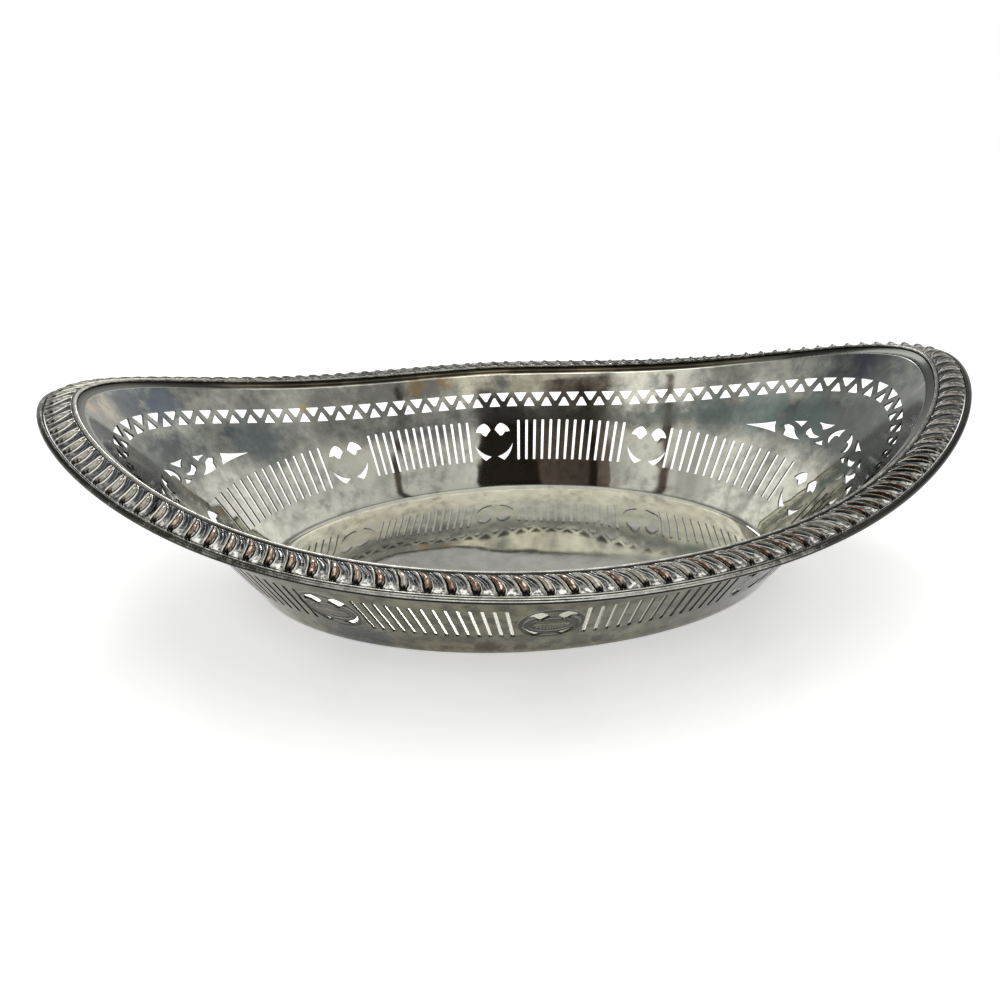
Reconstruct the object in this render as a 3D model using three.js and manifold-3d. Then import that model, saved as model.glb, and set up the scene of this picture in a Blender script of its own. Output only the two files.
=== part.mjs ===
import * as THREE from "three";
import { mergeVertices } from "three/addons/utils/BufferGeometryUtils.js";
import Module from "manifold-3d";

// An oval bread bowl of silver-plated sheet: a flat base, a flaring wall pierced with slots,
// medallions, scrolls and a zigzag band, and a border of leaning gadroons that rises to the ends.
// Lengths are millimetres. +Z is up, X is the long way, and the origin is at the centre of the base.

// The plan and the height of the rim line, which every border size below is measured from.
const rimHalfLength = 165;
const rimHalfWidth = 111.2;
const rimPower = 1.77; // 2 would be an ellipse, less is a little more pointed
const tipEasing = 0.1; // keeps the curve smooth where it crosses the axes
const sideHeight = 49.3;
const endRise = 26.9;
const risePower = 3.1;

// The sheet of the bowl and its flat oval base, measured at the crease inside.
const sheet = 1;
const baseHalfLength = 100.6;
const baseHalfWidth = 64.8;
const creaseSetback = 0.8;

// The border, from the outer edge inwards.
const edgeWireDiameter = 2.3;
const seam = 0.2; // solder between two pieces
const mountWidth = 8.7;
const beadWidth = 1.4;
const bandWidth = 2.1;
const ledgeWidth = 0.6;

// Heights in the border, from the rim line.
const flangeDrop = 0.2; // at the flange's inner edge
const flangeFall = 1; // further down, at its outer edge
const bandDrop = 1.9;
const ledgeDrop = 0.4;
const beadHeight = 1.1;
const fineBeadHeight = 0.77; // the finer line beside the bead
const beadGroove = [0.49, 0.88]; // between the two, its inset from the bead wire's edge and height
const beadCrest = 0.91; // the bead's inset from the same edge
const beadShoulder = 0.6;

// The struck gadroon mount.
const gadroonCount = 132;
const endGadroons = 26; // on the length round each end
const gadroonLean = 0.8; // how far a lobe leans along the border, in lobes
const leanPower = 2.2;
const mountInnerHeight = 0.7;
const mountOuterDrop = 0.45;
const mountCrown = 0.5;
const gadroonRelief = 1.6;
const bellyPower = 1.6; // moves the fullest part of a lobe outwards
const bellyFullness = 0.6;
const struckSheet = 0.5;
const crownInner = 0.25; // the flat crown inside a mount, from its inner edge as shares of the way
const crownOuter = 0.7;
const lobeRows = [0, 0.3, 0.65, 0.88]; // where a lobe's shape is worked out, in the same shares
const jointGap = 0.3; // along the border, where two lengths meet

// The pierced slots and the medallions between their panels.
const slotFoot = 13.7; // up the wall from the crease
const slotLength = 19.3;
const slotWidth = 1.2;
const slotMargin = 11.4; // from a medallion's middle to the first slot
const sidePanelSlots = 14;
const endPanelSlots = 15;
const quarterMedallion = THREE.MathUtils.degToRad(53.2);
const medallionRadius = 9.2;
const medallionsOff = [0, 0, 0, -2.3, 0, -1, -3, 0]; // how far each was punched from its even place
const panelGaps = [0, 0, 0, 2.3, 0, 0, 0, 0]; // added to the margin at the start of each panel
const panelLeans = [0, -2.4, 0.6, -1, 0, -7.7, -3.4, 0]; // degrees that the slots of each panel lean

// The zigzag band near the top of the wall.
const zigzagPeriods = 88;
const zigzagHeight = 6.8;
const zigzagMarginSide = 8.6; // from the top of the wall
const zigzagMarginEnd = 11.4;
const zigzagMarginPower = 3.75;
const downTriangleBase = 6.3; // the triangles that hang from its upper line
const upTriangleBase = 5.4;
const triangleHeight = 5;

// The scrolls over each end medallion.
const scrollGap = 8.3; // from the tops of the slots

// How finely the curves are cut into flats.
const roundColumns = 64;
const lobeColumns = 2;
const walkSteps = 8;
const landMargin = 1.5; // plain wall kept as fine as the slots and the zigzag beside them
const pierceClearance = 1.2; // how far a piercing tool runs past both faces

const flangeEdge = edgeWireDiameter + seam;
const mountOuter = flangeEdge;
const mountInner = mountOuter + mountWidth;
const beadOuter = mountInner + seam;
const flangeInner = beadOuter + beadWidth + seam / 2;
const ledgeInset = flangeInner + bandWidth;
const wallTopInset = ledgeInset + ledgeWidth;
const flangeRun = flangeInner - flangeEdge;
const slotMiddle = slotFoot + slotLength / 2;
const fullTurn = 2 * Math.PI;

const wasm = await Module();
wasm.setup();

// A cosine or sine pulled towards a superellipse's, with no kink at zero.
function pull(value) {
  const eased = (value * value + tipEasing ** 2) / (1 + tipEasing ** 2);
  return value * eased ** (1 / rimPower - 1 / 2);
}

function rimHeight(angle) {
  return sideHeight + endRise * Math.abs(pull(Math.cos(angle))) ** risePower;
}

// A point of the border, by its inset from the outer edge and its height over the rim line.
function borderPoint(angle, inset, rise) {
  return new THREE.Vector3(
    (rimHalfLength - inset) * pull(Math.cos(angle)),
    (rimHalfWidth - inset) * pull(Math.sin(angle)),
    rimHeight(angle) + rise,
  );
}

function wallFoot(angle) {
  return new THREE.Vector3(
    baseHalfLength * Math.cos(angle),
    baseHalfWidth * Math.sin(angle),
    sheet,
  );
}

function wallHead(angle) {
  return borderPoint(angle, wallTopInset, -flangeDrop - bandDrop - ledgeDrop);
}

function wallLength(angle) {
  return wallHead(angle).distanceTo(wallFoot(angle));
}

// A point on the wall's inner face, by the distance up the wall from the crease.
function wallSurface(angle, slant) {
  return wallFoot(angle).lerp(wallHead(angle), slant / wallLength(angle));
}

function wallPoint(angle, slant, depth) {
  const step = 1e-3;
  const around = wallSurface(angle + step, slant).sub(wallSurface(angle - step, slant));
  const up = wallHead(angle).sub(wallFoot(angle));
  return wallSurface(angle, slant).addScaledVector(around.cross(up).normalize(), depth);
}

// The plan angle reached by walking a distance along the wall, at one height up it.
function angleAfter(startAngle, slant, distance) {
  const stride = distance / walkSteps;
  const turn = 1e-3;
  const pace = (angle) =>
    wallSurface(angle + turn, slant).distanceTo(wallSurface(angle, slant)) / turn;
  let angle = startAngle;
  for (let step = 0; step < walkSteps; step++) {
    const halfway = angle + stride / 2 / pace(angle);
    angle += stride / pace(halfway);
  }
  return angle;
}

// A closed line round the bowl that can be divided into equal lengths.
class RingLine extends THREE.Curve {
  constructor(pointAt) {
    super();
    this.pointAt = pointAt;
    this.arcLengthDivisions = 720;
  }
  getPoint(share, target = new THREE.Vector3()) {
    return target.copy(this.pointAt(share * fullTurn));
  }
  // The plan angle at a share of the way round, which may lie outside one turn.
  angleAt(share) {
    const turns = Math.floor(share);
    return fullTurn * (turns + this.getUtoTmapping(share - turns));
  }
}

function geometryFrom(points, triangles) {
  const geometry = new THREE.BufferGeometry();
  geometry.setAttribute("position", new THREE.Float32BufferAttribute(points, 3));
  geometry.setIndex(triangles);
  return geometry;
}

function solidFrom(geometry) {
  const bare = geometry.clone();
  bare.deleteAttribute("normal");
  bare.deleteAttribute("uv");
  const merged = mergeVertices(bare, 1e-4);
  return new wasm.Manifold(
    new wasm.Mesh({
      numProp: 3,
      vertProperties: merged.attributes.position.array,
      triVerts: new Uint32Array(merged.index.array),
    }),
  );
}

function geometryOf(solid) {
  const mesh = solid.getMesh();
  return geometryFrom(Array.from(mesh.vertProperties), Array.from(mesh.triVerts));
}

// The upper face of the sheet at one plan angle, from the base out to the flange's edge.
function profile(angle) {
  const foot = wallFoot(angle);
  const up = wallHead(angle).sub(foot).normalize();
  const inward = new THREE.Vector3(-up.x, -up.y, 0).normalize();
  const floorEnd = foot.clone().addScaledVector(inward, creaseSetback);
  const wallStart = foot.clone().addScaledVector(up, creaseSetback);
  const middle = floorEnd.clone().add(wallStart).multiplyScalar(0.5).lerp(foot, 0.5);
  return [
    floorEnd,
    middle,
    wallStart,
    wallHead(angle),
    borderPoint(angle, ledgeInset, -flangeDrop - bandDrop),
    borderPoint(angle, flangeInner, -flangeDrop),
    borderPoint(angle, flangeEdge, -flangeDrop - flangeFall),
  ];
}

// The upper and lower faces of the sheet as one net of triangles. A ring is a list of its points
// in order round the bowl; wherever the net is left open, a wall joins the two faces.
class SheetNet {
  constructor() {
    this.spots = [];
    this.triangles = [];
  }

  addSpot(angle, upper, lower) {
    this.spots.push({ angle, upper, lower });
    return this.spots.length - 1;
  }

  // A spot on the wall.
  wallSpot(angle, slant) {
    return this.addSpot(angle, wallPoint(angle, slant, 0), wallPoint(angle, slant, sheet));
  }

  // A spot at one bend of the profile, where the lower face is set off by a mitre.
  bendSpot(angle, row) {
    const turn = 1e-3;
    const line = profile(angle);
    const around = profile(angle + turn)[row].sub(profile(angle - turn)[row]);
    const facing = (from, to) => to.clone().sub(from).cross(around).normalize();
    const point = line[row];
    const before = line[row - 1] ?? new THREE.Vector3(0, 0, sheet);
    const first = facing(before, point);
    const second = row + 1 < line.length ? facing(point, line[row + 1]) : first;
    const mitre = sheet / (1 + first.dot(second));
    return this.addSpot(angle, point, point.clone().addScaledVector(first.add(second), -mitre));
  }

  ringOf(spotAt) {
    return Array.from({ length: roundColumns }, (_, column) =>
      spotAt((column / roundColumns) * fullTurn),
    );
  }

  // Triangles between two rings, which may have different numbers of points.
  stitch(inner, outer) {
    const at = (ring, i) => ring[i % ring.length];
    const angleOf = (ring, i) =>
      this.spots[at(ring, i)].angle + fullTurn * Math.floor(i / ring.length);
    let i = 0;
    let j = 0;
    while (i < inner.length || j < outer.length) {
      const innerNext = i < inner.length && angleOf(inner, i + 1) < angleOf(outer, j + 1);
      if (innerNext || j === outer.length) {
        this.triangles.push([at(inner, i), at(outer, j), at(inner, i + 1)]);
        i++;
      } else {
        this.triangles.push([at(inner, i), at(outer, j), at(outer, j + 1)]);
        j++;
      }
    }
  }

  solid() {
    const count = this.spots.length;
    const edgesOf = ([a, b, c]) => [[a, b], [b, c], [c, a]];
    const directed = new Set(this.triangles.flatMap(edgesOf).map(([from, to]) => `${from} ${to}`));
    const triangles = this.triangles.flatMap(([a, b, c]) => [
      ...[a, b, c],
      ...[a + count, c + count, b + count],
    ]);
    for (const [from, to] of this.triangles.flatMap(edgesOf)) {
      if (directed.has(`${to} ${from}`)) continue;
      triangles.push(to, from, from + count);
      triangles.push(to, from + count, to + count);
    }
    const points = [
      ...this.spots.flatMap(({ upper }) => upper.toArray()),
      ...this.spots.flatMap(({ lower }) => lower.toArray()),
    ];
    return solidFrom(geometryFrom(points, triangles));
  }
}

const evenMedallions = [
  0,
  quarterMedallion,
  Math.PI / 2,
  Math.PI - quarterMedallion,
  Math.PI,
  Math.PI + quarterMedallion,
  1.5 * Math.PI,
  fullTurn - quarterMedallion,
];
const medallionAngles = evenMedallions.map((angle, i) =>
  angleAfter(angle, slotMiddle, medallionsOff[i]),
);

// How far a line straight up the wall leans along a band round it, as a share of its length.
function wallLean(band, angle) {
  const turn = 1e-3;
  const along = band(angle + turn).sub(band(angle - turn));
  const up = wallHead(angle).sub(wallFoot(angle));
  return along.normalize().dot(up.normalize());
}

function slotBand(angle) {
  return wallSurface(angle, slotMiddle);
}

// The plan angle of each slot of a panel, evenly spaced between two medallions.
function slotAngles(panel) {
  const start = medallionAngles[panel];
  const end = medallionAngles[panel + 1] ?? fullTurn;
  const samples = 200;
  let length = 0;
  for (let i = 0; i < samples; i++) {
    const from = start + ((end - start) * i) / samples;
    const to = start + ((end - start) * (i + 1)) / samples;
    length += wallSurface(from, slotMiddle).distanceTo(wallSurface(to, slotMiddle));
  }
  const touchesEnd = panel % 4 === 0 || panel % 4 === 3;
  const slots = touchesEnd ? endPanelSlots : sidePanelSlots;
  const gap = slotMargin + panelGaps[panel];
  const pitch = (length - gap - slotMargin) / (slots - 1);
  return Array.from({ length: slots }, (_, slot) =>
    angleAfter(start, slotMiddle, gap + slot * pitch),
  );
}

// The band of slots: two rings, and the net between them only where there is no slot. The slots
// stand square to the band, but for the small lean of each panel.
function addSlots(net) {
  const lowerRing = [];
  const upperRing = [];
  const openCells = new Set();
  const besideMedallion = slotMargin / 3;
  const addColumn = (angle, offset, panelLean) => {
    const top = slotFoot + slotLength;
    const lean = Math.tan(THREE.MathUtils.degToRad(panelLean)) - wallLean(slotBand, angle);
    lowerRing.push(net.wallSpot(angleAfter(angle, slotFoot, offset), slotFoot));
    upperRing.push(net.wallSpot(angleAfter(angle, top, offset + lean * slotLength), top));
  };
  medallionAngles.forEach((medallion, panel) => {
    addColumn(medallion, besideMedallion, 0);
    for (const slot of slotAngles(panel)) {
      addColumn(slot, -slotWidth / 2, panelLeans[panel]);
      openCells.add(lowerRing.length - 1);
      addColumn(slot, slotWidth / 2, panelLeans[panel]);
    }
    addColumn(medallionAngles[panel + 1] ?? fullTurn, -besideMedallion, 0);
  });
  lowerRing.forEach((spot, i) => {
    if (openCells.has(i)) return;
    const next = (i + 1) % lowerRing.length;
    net.triangles.push([spot, upperRing[i], upperRing[next]]);
    net.triangles.push([spot, upperRing[next], lowerRing[next]]);
  });
  return [lowerRing, upperRing];
}

function zigzagTop(angle) {
  const towardsEnd = Math.abs(Math.cos(angle)) ** zigzagMarginPower;
  const margin = zigzagMarginSide + (zigzagMarginEnd - zigzagMarginSide) * towardsEnd;
  return wallLength(angle) - margin;
}

function zigzagBand(angle) {
  return wallSurface(angle, zigzagTop(angle) - zigzagHeight / 2);
}

// The zigzag band. Open triangles point down from its upper line and up from its lower line,
// half a step on, and the net between them is the zigzag bar. All stand square to the band.
function addZigzag(net) {
  const middle = new RingLine(zigzagBand);
  const length = middle.getLength();
  const downHalf = downTriangleBase / 2 / length;
  const upHalf = upTriangleBase / 2 / length;
  const corner = (share, drop) => {
    const lean = wallLean(zigzagBand, middle.angleAt(share));
    const angle = middle.angleAt(share + (lean * (drop - zigzagHeight / 2)) / length);
    return net.wallSpot(angle, zigzagTop(angle) - drop);
  };
  const downs = [];
  const ups = [];
  for (let period = 0; period < zigzagPeriods; period++) {
    const downShare = (period + 0.25) / zigzagPeriods;
    const upShare = (period + 0.75) / zigzagPeriods;
    downs.push({
      left: corner(downShare - downHalf, 0),
      right: corner(downShare + downHalf, 0),
      tip: corner(downShare, triangleHeight),
    });
    ups.push({
      left: corner(upShare - upHalf, zigzagHeight),
      right: corner(upShare + upHalf, zigzagHeight),
      tip: corner(upShare, zigzagHeight - triangleHeight),
    });
  }
  downs.forEach((down, period) => {
    const up = ups[period];
    const nextDown = downs[(period + 1) % zigzagPeriods];
    const nextUp = ups[(period + 1) % zigzagPeriods];
    net.triangles.push([down.tip, down.right, up.tip], [down.tip, up.tip, up.left]);
    net.triangles.push([up.tip, nextDown.left, nextDown.tip], [up.tip, nextDown.tip, up.right]);
    net.triangles.push([down.right, nextDown.left, up.tip], [up.right, nextDown.tip, nextUp.left]);
  });
  const line = (triangles) => triangles.flatMap(({ left, right }) => [left, right]);
  return [line(ups), line(downs)];
}

// The bowl's sheet with its slots and zigzag, before the finer ornament is pierced.
function slottedBowl() {
  const net = new SheetNet();
  const bendRing = (row) => net.ringOf((angle) => net.bendSpot(angle, row));
  const [floorRing, creaseRing, startRing, headRing, ledgeRing, bandRing, edgeRing] =
    profile(0).map((_, row) => bendRing(row));
  const [slotFeet, slotTops] = addSlots(net);
  const [zigzagLower, zigzagUpper] = addZigzag(net);
  const overSlots = net.ringOf((angle) => net.wallSpot(angle, slotFoot + slotLength + landMargin));
  const underZigzag = net.ringOf((angle) =>
    net.wallSpot(angle, zigzagTop(angle) - zigzagHeight - landMargin),
  );
  const rings = [floorRing, creaseRing, startRing, slotFeet];
  rings.slice(1).forEach((ring, i) => net.stitch(rings[i], ring));
  net.stitch(slotTops, overSlots);
  net.stitch(overSlots, underZigzag);
  net.stitch(underZigzag, zigzagLower);
  const outer = [zigzagUpper, headRing, ledgeRing, bandRing, edgeRing];
  outer.slice(1).forEach((ring, i) => net.stitch(outer[i], ring));
  const centre = net.addSpot(0, new THREE.Vector3(0, 0, sheet), new THREE.Vector3(0, 0, 0));
  floorRing.forEach((spot, i) => {
    net.triangles.push([centre, spot, floorRing[(i + 1) % floorRing.length]]);
  });
  return net.solid();
}

// A piercing tool: an outline carried onto the wall, then drawn straight out through the sheet.
function piercing(shape, place) {
  const geometry = new THREE.ExtrudeGeometry(shape, {
    depth: 1,
    bevelEnabled: false,
    curveSegments: 2,
  });
  geometry.computeBoundingBox();
  const middle = geometry.boundingBox.getCenter(new THREE.Vector3());
  const { angle: middleAngle, slant: middleSlant } = place(middle.x, middle.y);
  const inner = wallPoint(middleAngle, middleSlant, 0);
  const outward = wallPoint(middleAngle, middleSlant, 1).sub(inner);
  const position = geometry.attributes.position;
  for (let i = 0; i < position.count; i++) {
    const { angle, slant } = place(position.getX(i), position.getY(i));
    const depth = position.getZ(i) < 0.5 ? -pierceClearance : sheet + pierceClearance;
    const point = wallSurface(angle, slant).addScaledVector(outward, depth);
    position.setXYZ(i, ...point.toArray());
  }
  return solidFrom(geometry);
}

// Lays an outline on the wall, square to the slots' band, with its own origin at a plan angle and
// a height up the wall.
function laidAt(centreAngle, centreSlant) {
  const lean = wallLean(slotBand, centreAngle);
  return (x, y) => ({
    angle: angleAfter(centreAngle, centreSlant + y, x - lean * y),
    slant: centreSlant + y,
  });
}

// An outline from a start and segments: [x, y] is straight, [bendX, bendY, x, y] is curved.
// The side is 1, or -1 for its mirror image.
function outline(side, scale, start, ...segments) {
  const shape = new THREE.Shape();
  const across = side * scale;
  shape.moveTo(start[0] * across, start[1] * scale);
  for (const [a, b, c, d] of segments) {
    if (c === undefined) shape.lineTo(a * across, b * scale);
    else shape.quadraticCurveTo(a * across, b * scale, c * across, d * scale);
  }
  return shape;
}

// Round the urn in each medallion: two wings beside its neck and two crescents under its bowl.
function medallionTools() {
  const r = medallionRadius;
  const wing = (side) =>
    outline(side, r, [0.11, 0.57], [0.42, 0.92], [0.78, 0.8, 0.88, 0.47], [0.61, 0.45], [0.37, 0.25]);
  const crescent = (side) =>
    outline(side, r, [0.98, -0.15], [0.9, -0.57, 0.47, -1.03], [0.15, -0.82], [0.65, -0.68, 0.98, -0.15]);
  return medallionAngles.flatMap((angle) => {
    const place = laidAt(angle, slotMiddle);
    return [wing(1), wing(-1), crescent(1), crescent(-1)].map((shape) => piercing(shape, place));
  });
}

// The openwork scroll over each end medallion, half of it drawn and the other half mirrored.
function scrollTools() {
  const half = (side) => [
    outline(side, 1, [46.5, 0], [34.5, 5.1], [33.3, 2.7], [31.2, 0.3]),
    outline(side, 1, [30.2, 4.5], [28.7, 5.4], [24, 3.6], [19, 0.9], [23.5, 0.1, 27.6, 0.6], [28.3, 2.9]),
    outline(side, 1, [28, 7.4], [21.8, 9.6], [22.4, 6.1]),
    outline(side, 1, [18.5, 7.5], [19.2, 4, 15, 3.3], [11.2, 5.9], [16.5, 5, 18.5, 7.5]),
    outline(side, 1, [16.8, 10.7], [8.6, 12.6], [12.8, 8.2]),
    outline(side, 1, [11.8, 2.6], [9, 5.4], [7.2, 2.9]),
    outline(side, 1, [4.7, 4.5], [10.6, 8.8, 1.8, 12.7], [2.3, 8.7], [4.3, 7.7]),
  ];
  const base = slotFoot + slotLength + scrollGap;
  return [0, Math.PI].flatMap((angle) => {
    const place = laidAt(angle, base);
    return [...half(1), ...half(-1)].map((shape) => piercing(shape, place));
  });
}

function piercedBowl() {
  const tools = [...medallionTools(), ...scrollTools()];
  return geometryOf(tools.reduce((bowl, tool) => bowl.subtract(tool), slottedBowl()));
}

function flangeRise(inset) {
  return -flangeDrop - (flangeFall * (flangeInner - inset)) / flangeRun;
}

// A closed body swept round the border through loops of points. A body that stops short of
// the full round is given its flat section, which closes its two ends.
function sweep(loops, section) {
  const rows = loops[0].length;
  const triangles = [];
  const cells = section ? loops.length - 1 : loops.length;
  for (let column = 0; column < cells; column++) {
    const start = column * rows;
    const next = ((column + 1) % loops.length) * rows;
    for (let row = 0; row < rows; row++) {
      const nextRow = (row + 1) % rows;
      triangles.push(start + row, start + nextRow, next + nextRow);
      triangles.push(start + row, next + nextRow, next + row);
    }
  }
  if (section) {
    const last = (loops.length - 1) * rows;
    for (const [a, b, c] of THREE.ShapeUtils.triangulateShape(section, [])) {
      triangles.push(a, c, b);
      triangles.push(last + a, last + b, last + c);
    }
  }
  const points = loops.flat().flatMap((point) => point.toArray());
  return geometryOf(solidFrom(geometryFrom(points, triangles)));
}

// A ring whose section is the same all round, as insets and heights in the border.
function borderRing(section) {
  const loops = [];
  for (let column = 0; column < roundColumns; column++) {
    const angle = (column / roundColumns) * fullTurn;
    loops.push(section.map(([inset, rise]) => borderPoint(angle, inset, rise)));
  }
  return sweep(loops);
}

// The drawn wire soldered round the edge of the flange.
function edgeWire() {
  const sides = 6;
  const radius = edgeWireDiameter / 2;
  const middle = flangeRise(flangeEdge);
  const section = Array.from({ length: sides }, (_, side) => {
    const turn = (side / sides) * fullTurn;
    return [radius + radius * Math.cos(turn), middle + radius * Math.sin(turn)];
  });
  return borderRing(section);
}

// The fine double bead that closes the inner edge of the gadroons.
function beadWire() {
  const foot = (inset) => flangeRise(inset) + seam;
  const [grooveInset, grooveHeight] = beadGroove;
  const beadInner = beadOuter + beadWidth;
  return borderRing([
    [beadInner, foot(beadInner)],
    [beadInner, beadShoulder],
    [beadOuter + beadCrest, beadHeight],
    [beadOuter + grooveInset, grooveHeight],
    [beadOuter, fineBeadHeight],
    [beadOuter, foot(beadOuter)],
  ]);
}

const crestLine = new RingLine((angle) => borderPoint(angle, mountOuter + mountWidth / 3, 0));

// Heights over the rim line across the mount, from its inner edge, 0, to its outer edge, 1.
function valleyRise(across) {
  const edge = mountInnerHeight - (mountInnerHeight + mountOuterDrop) * across;
  return edge + mountCrown * Math.sin(Math.PI * across);
}

function lobeRise(across) {
  return gadroonRelief * Math.sin(Math.PI * across ** bellyPower) ** bellyFullness;
}

// How far along the border a lobe lies behind its outer end, in lobes.
function lean(across) {
  return -gadroonLean * (1 - across) ** leanPower;
}

// A length of struck mount: a thin shell with lobes on top, open below for its filling.
function gadroonLength(firstLobe, lobes) {
  const inset = (across) => mountInner - mountWidth * across;
  const footAt = (across) => [across, () => flangeRise(inset(across)) + seam];
  const rim = struckSheet / mountWidth;
  const topPoint = (across) => [across, (onLobe) => valleyRise(across) + onLobe * lobeRise(across)];
  const ceiling = (across) => [across, () => valleyRise(across) - struckSheet];
  const rows = [
    footAt(0),
    ...lobeRows.map(topPoint),
    [1, () => -mountOuterDrop],
    footAt(1),
    footAt(1 - rim),
    ceiling(crownOuter),
    ceiling(crownInner),
    footAt(rim),
  ];
  const gap = jointGap / crestLine.getLength();
  const columns = Math.round(lobes * lobeColumns);
  const loops = [];
  for (let column = 0; column <= columns; column++) {
    const alongGap = gap * (0.5 - column / columns);
    const lobe = firstLobe + (lobes * column) / columns;
    const onLobe = column % lobeColumns ? 1 : 0;
    loops.push(
      rows.map(([across, rise]) => {
        const angle = crestLine.angleAt((lobe + lean(across)) / gadroonCount + alongGap);
        return borderPoint(angle, inset(across), rise(onLobe));
      }),
    );
  }
  const section = rows.map(([across, rise]) => new THREE.Vector2(inset(across), rise(0)));
  return sweep(loops, section);
}

// The soft solder run into a length of mount, under its lobes and on the flange.
function fillingLength(firstLobe, lobes) {
  const inset = (across) => mountInner - mountWidth * across;
  const rim = (struckSheet + seam) / mountWidth;
  const section = [
    [rim + seam / mountWidth, (across) => flangeRise(inset(across)) + seam],
    [crownInner, (across) => valleyRise(across) - struckSheet - seam],
    [crownOuter, (across) => valleyRise(across) - struckSheet - seam],
    [1 - rim - seam / mountWidth, (across) => flangeRise(inset(across)) + seam],
  ];
  const lobesPerColumn = 1;
  const columns = Math.max(2, Math.round(lobes / lobesPerColumn));
  const gap = jointGap / crestLine.getLength();
  const loops = [];
  for (let column = 0; column <= columns; column++) {
    const alongGap = gap * (1 - (2 * column) / columns);
    const lobe = firstLobe + (lobes * column) / columns;
    loops.push(
      section.map(([across, rise]) => {
        const angle = crestLine.angleAt((lobe + lean(across)) / gadroonCount + alongGap);
        return borderPoint(angle, inset(across), rise(across));
      }),
    );
  }
  const flat = section.map(([across, rise]) => new THREE.Vector2(inset(across), rise(across)));
  return sweep(loops, flat);
}

function finish(colour, roughness, metalness = 1) {
  return new THREE.MeshStandardMaterial({ color: colour, roughness, metalness });
}

const bowl = new THREE.Group();

function addPiece(name, geometry, material) {
  geometry.computeVertexNormals();
  const piece = new THREE.Mesh(geometry, material);
  piece.name = name;
  bowl.add(piece);
}

addPiece("pierced_bowl", piercedBowl(), finish(0xa9a79a, 0.22));
addPiece("outer_edge_wire", edgeWire(), finish(0x9c9a92, 0.3));
addPiece("inner_bead_wire", beadWire(), finish(0xb7b5aa, 0.25));

const sideGadroons = gadroonCount / 2 - endGadroons;
const lengths = [
  ["right_end", -endGadroons / 2, endGadroons],
  ["back", endGadroons / 2, sideGadroons],
  ["left_end", endGadroons / 2 + sideGadroons, endGadroons],
  ["front", 1.5 * endGadroons + sideGadroons, sideGadroons],
];
for (const [place, firstLobe, lobes] of lengths) {
  addPiece("gadroon_" + place, gadroonLength(firstLobe, lobes), finish(0xa08d7d, 0.32));
  addPiece("filling_" + place, fillingLength(firstLobe, lobes), finish(0x77777a, 0.6));
}

export default bowl;
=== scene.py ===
import math

import bmesh
import bpy
import numpy as np
from mathutils import Matrix, Vector
from mathutils.geometry import delaunay_2d_cdt


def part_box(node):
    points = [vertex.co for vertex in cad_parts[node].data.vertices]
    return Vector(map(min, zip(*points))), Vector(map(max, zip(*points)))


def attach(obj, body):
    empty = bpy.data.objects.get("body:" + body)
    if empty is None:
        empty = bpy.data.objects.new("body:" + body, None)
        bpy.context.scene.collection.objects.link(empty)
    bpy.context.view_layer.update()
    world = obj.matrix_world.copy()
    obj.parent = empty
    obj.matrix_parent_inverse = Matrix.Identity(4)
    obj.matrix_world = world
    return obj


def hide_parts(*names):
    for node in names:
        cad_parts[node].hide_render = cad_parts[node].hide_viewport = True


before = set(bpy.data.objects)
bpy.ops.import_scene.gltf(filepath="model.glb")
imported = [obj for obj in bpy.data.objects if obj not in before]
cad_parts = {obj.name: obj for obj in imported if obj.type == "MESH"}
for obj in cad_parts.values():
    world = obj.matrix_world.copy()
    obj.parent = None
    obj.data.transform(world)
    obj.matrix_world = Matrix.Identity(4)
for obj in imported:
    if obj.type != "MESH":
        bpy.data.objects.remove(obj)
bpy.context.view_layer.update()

# Pierced bowl.
# One sheet of silver-plated copper raised into an oval dish with a flat base. Its slots, urn
# medallions, scrolls and zigzag were punched out before the rim was turned over as a flange.
MM = 0.001
FULL_TURN = 2 * math.pi

rim_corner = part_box("outer_edge_wire")[1]
half_length = rim_corner.x / MM
half_width = rim_corner.y / MM
rim_power = 1.77
tip_easing = 0.1
side_height = 49.3
end_rise = 26.9
rise_power = 3.1

sheet = 1.0
base_half_length = 100.6
base_half_width = 64.8
crease_radius = 1.6

edge_wire_width = 2.3
seam = 0.2
mount_width = 8.7
bead_width = 1.4
band_width = 2.1
ledge_width = 0.6
flange_drop = 0.2
flange_fall = 1.0
band_drop = 1.9
ledge_drop = 0.4

flange_edge = edge_wire_width + seam
mount_inner = flange_edge + mount_width
bead_outer = mount_inner + seam
flange_inner = bead_outer + bead_width + seam / 2
ledge_inset = flange_inner + band_width
wall_top_inset = ledge_inset + ledge_width

slot_foot = 13.7
slot_length = 19.3
slot_width = 1.2
slot_margin = 11.4
slot_easing = 0.3  # how far the punch cuts back each corner
side_panel_slots = 14
end_panel_slots = 15
quarter_medallion = math.radians(53.2)
medallion_radius = 9.2
medallions_off = (0, 0, 0, -2.3, 0, -1, -3, 0)  # how far each was punched from its even place
panel_gaps = (0, 0, 0, 2.3, 0, 0, 0, 0)  # added to the margin at the start of each panel
panel_leans = (0, -2.4, 0.6, -1, 0, -7.7, -3.4, 0)  # degrees that the slots of each panel lean
slot_middle = slot_foot + slot_length / 2
slot_top = slot_foot + slot_length

zigzag_periods = 88
zigzag_height = 6.8
zigzag_margin_side = 8.6
zigzag_margin_end = 11.4
zigzag_margin_power = 3.75
down_triangle_base = 6.3
up_triangle_base = 5.4
triangle_height = 5.0
triangle_easings = (0.35, 0.35, 0.9)  # at the two corners of its base and at its tip
scroll_gap = 8.3

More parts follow.
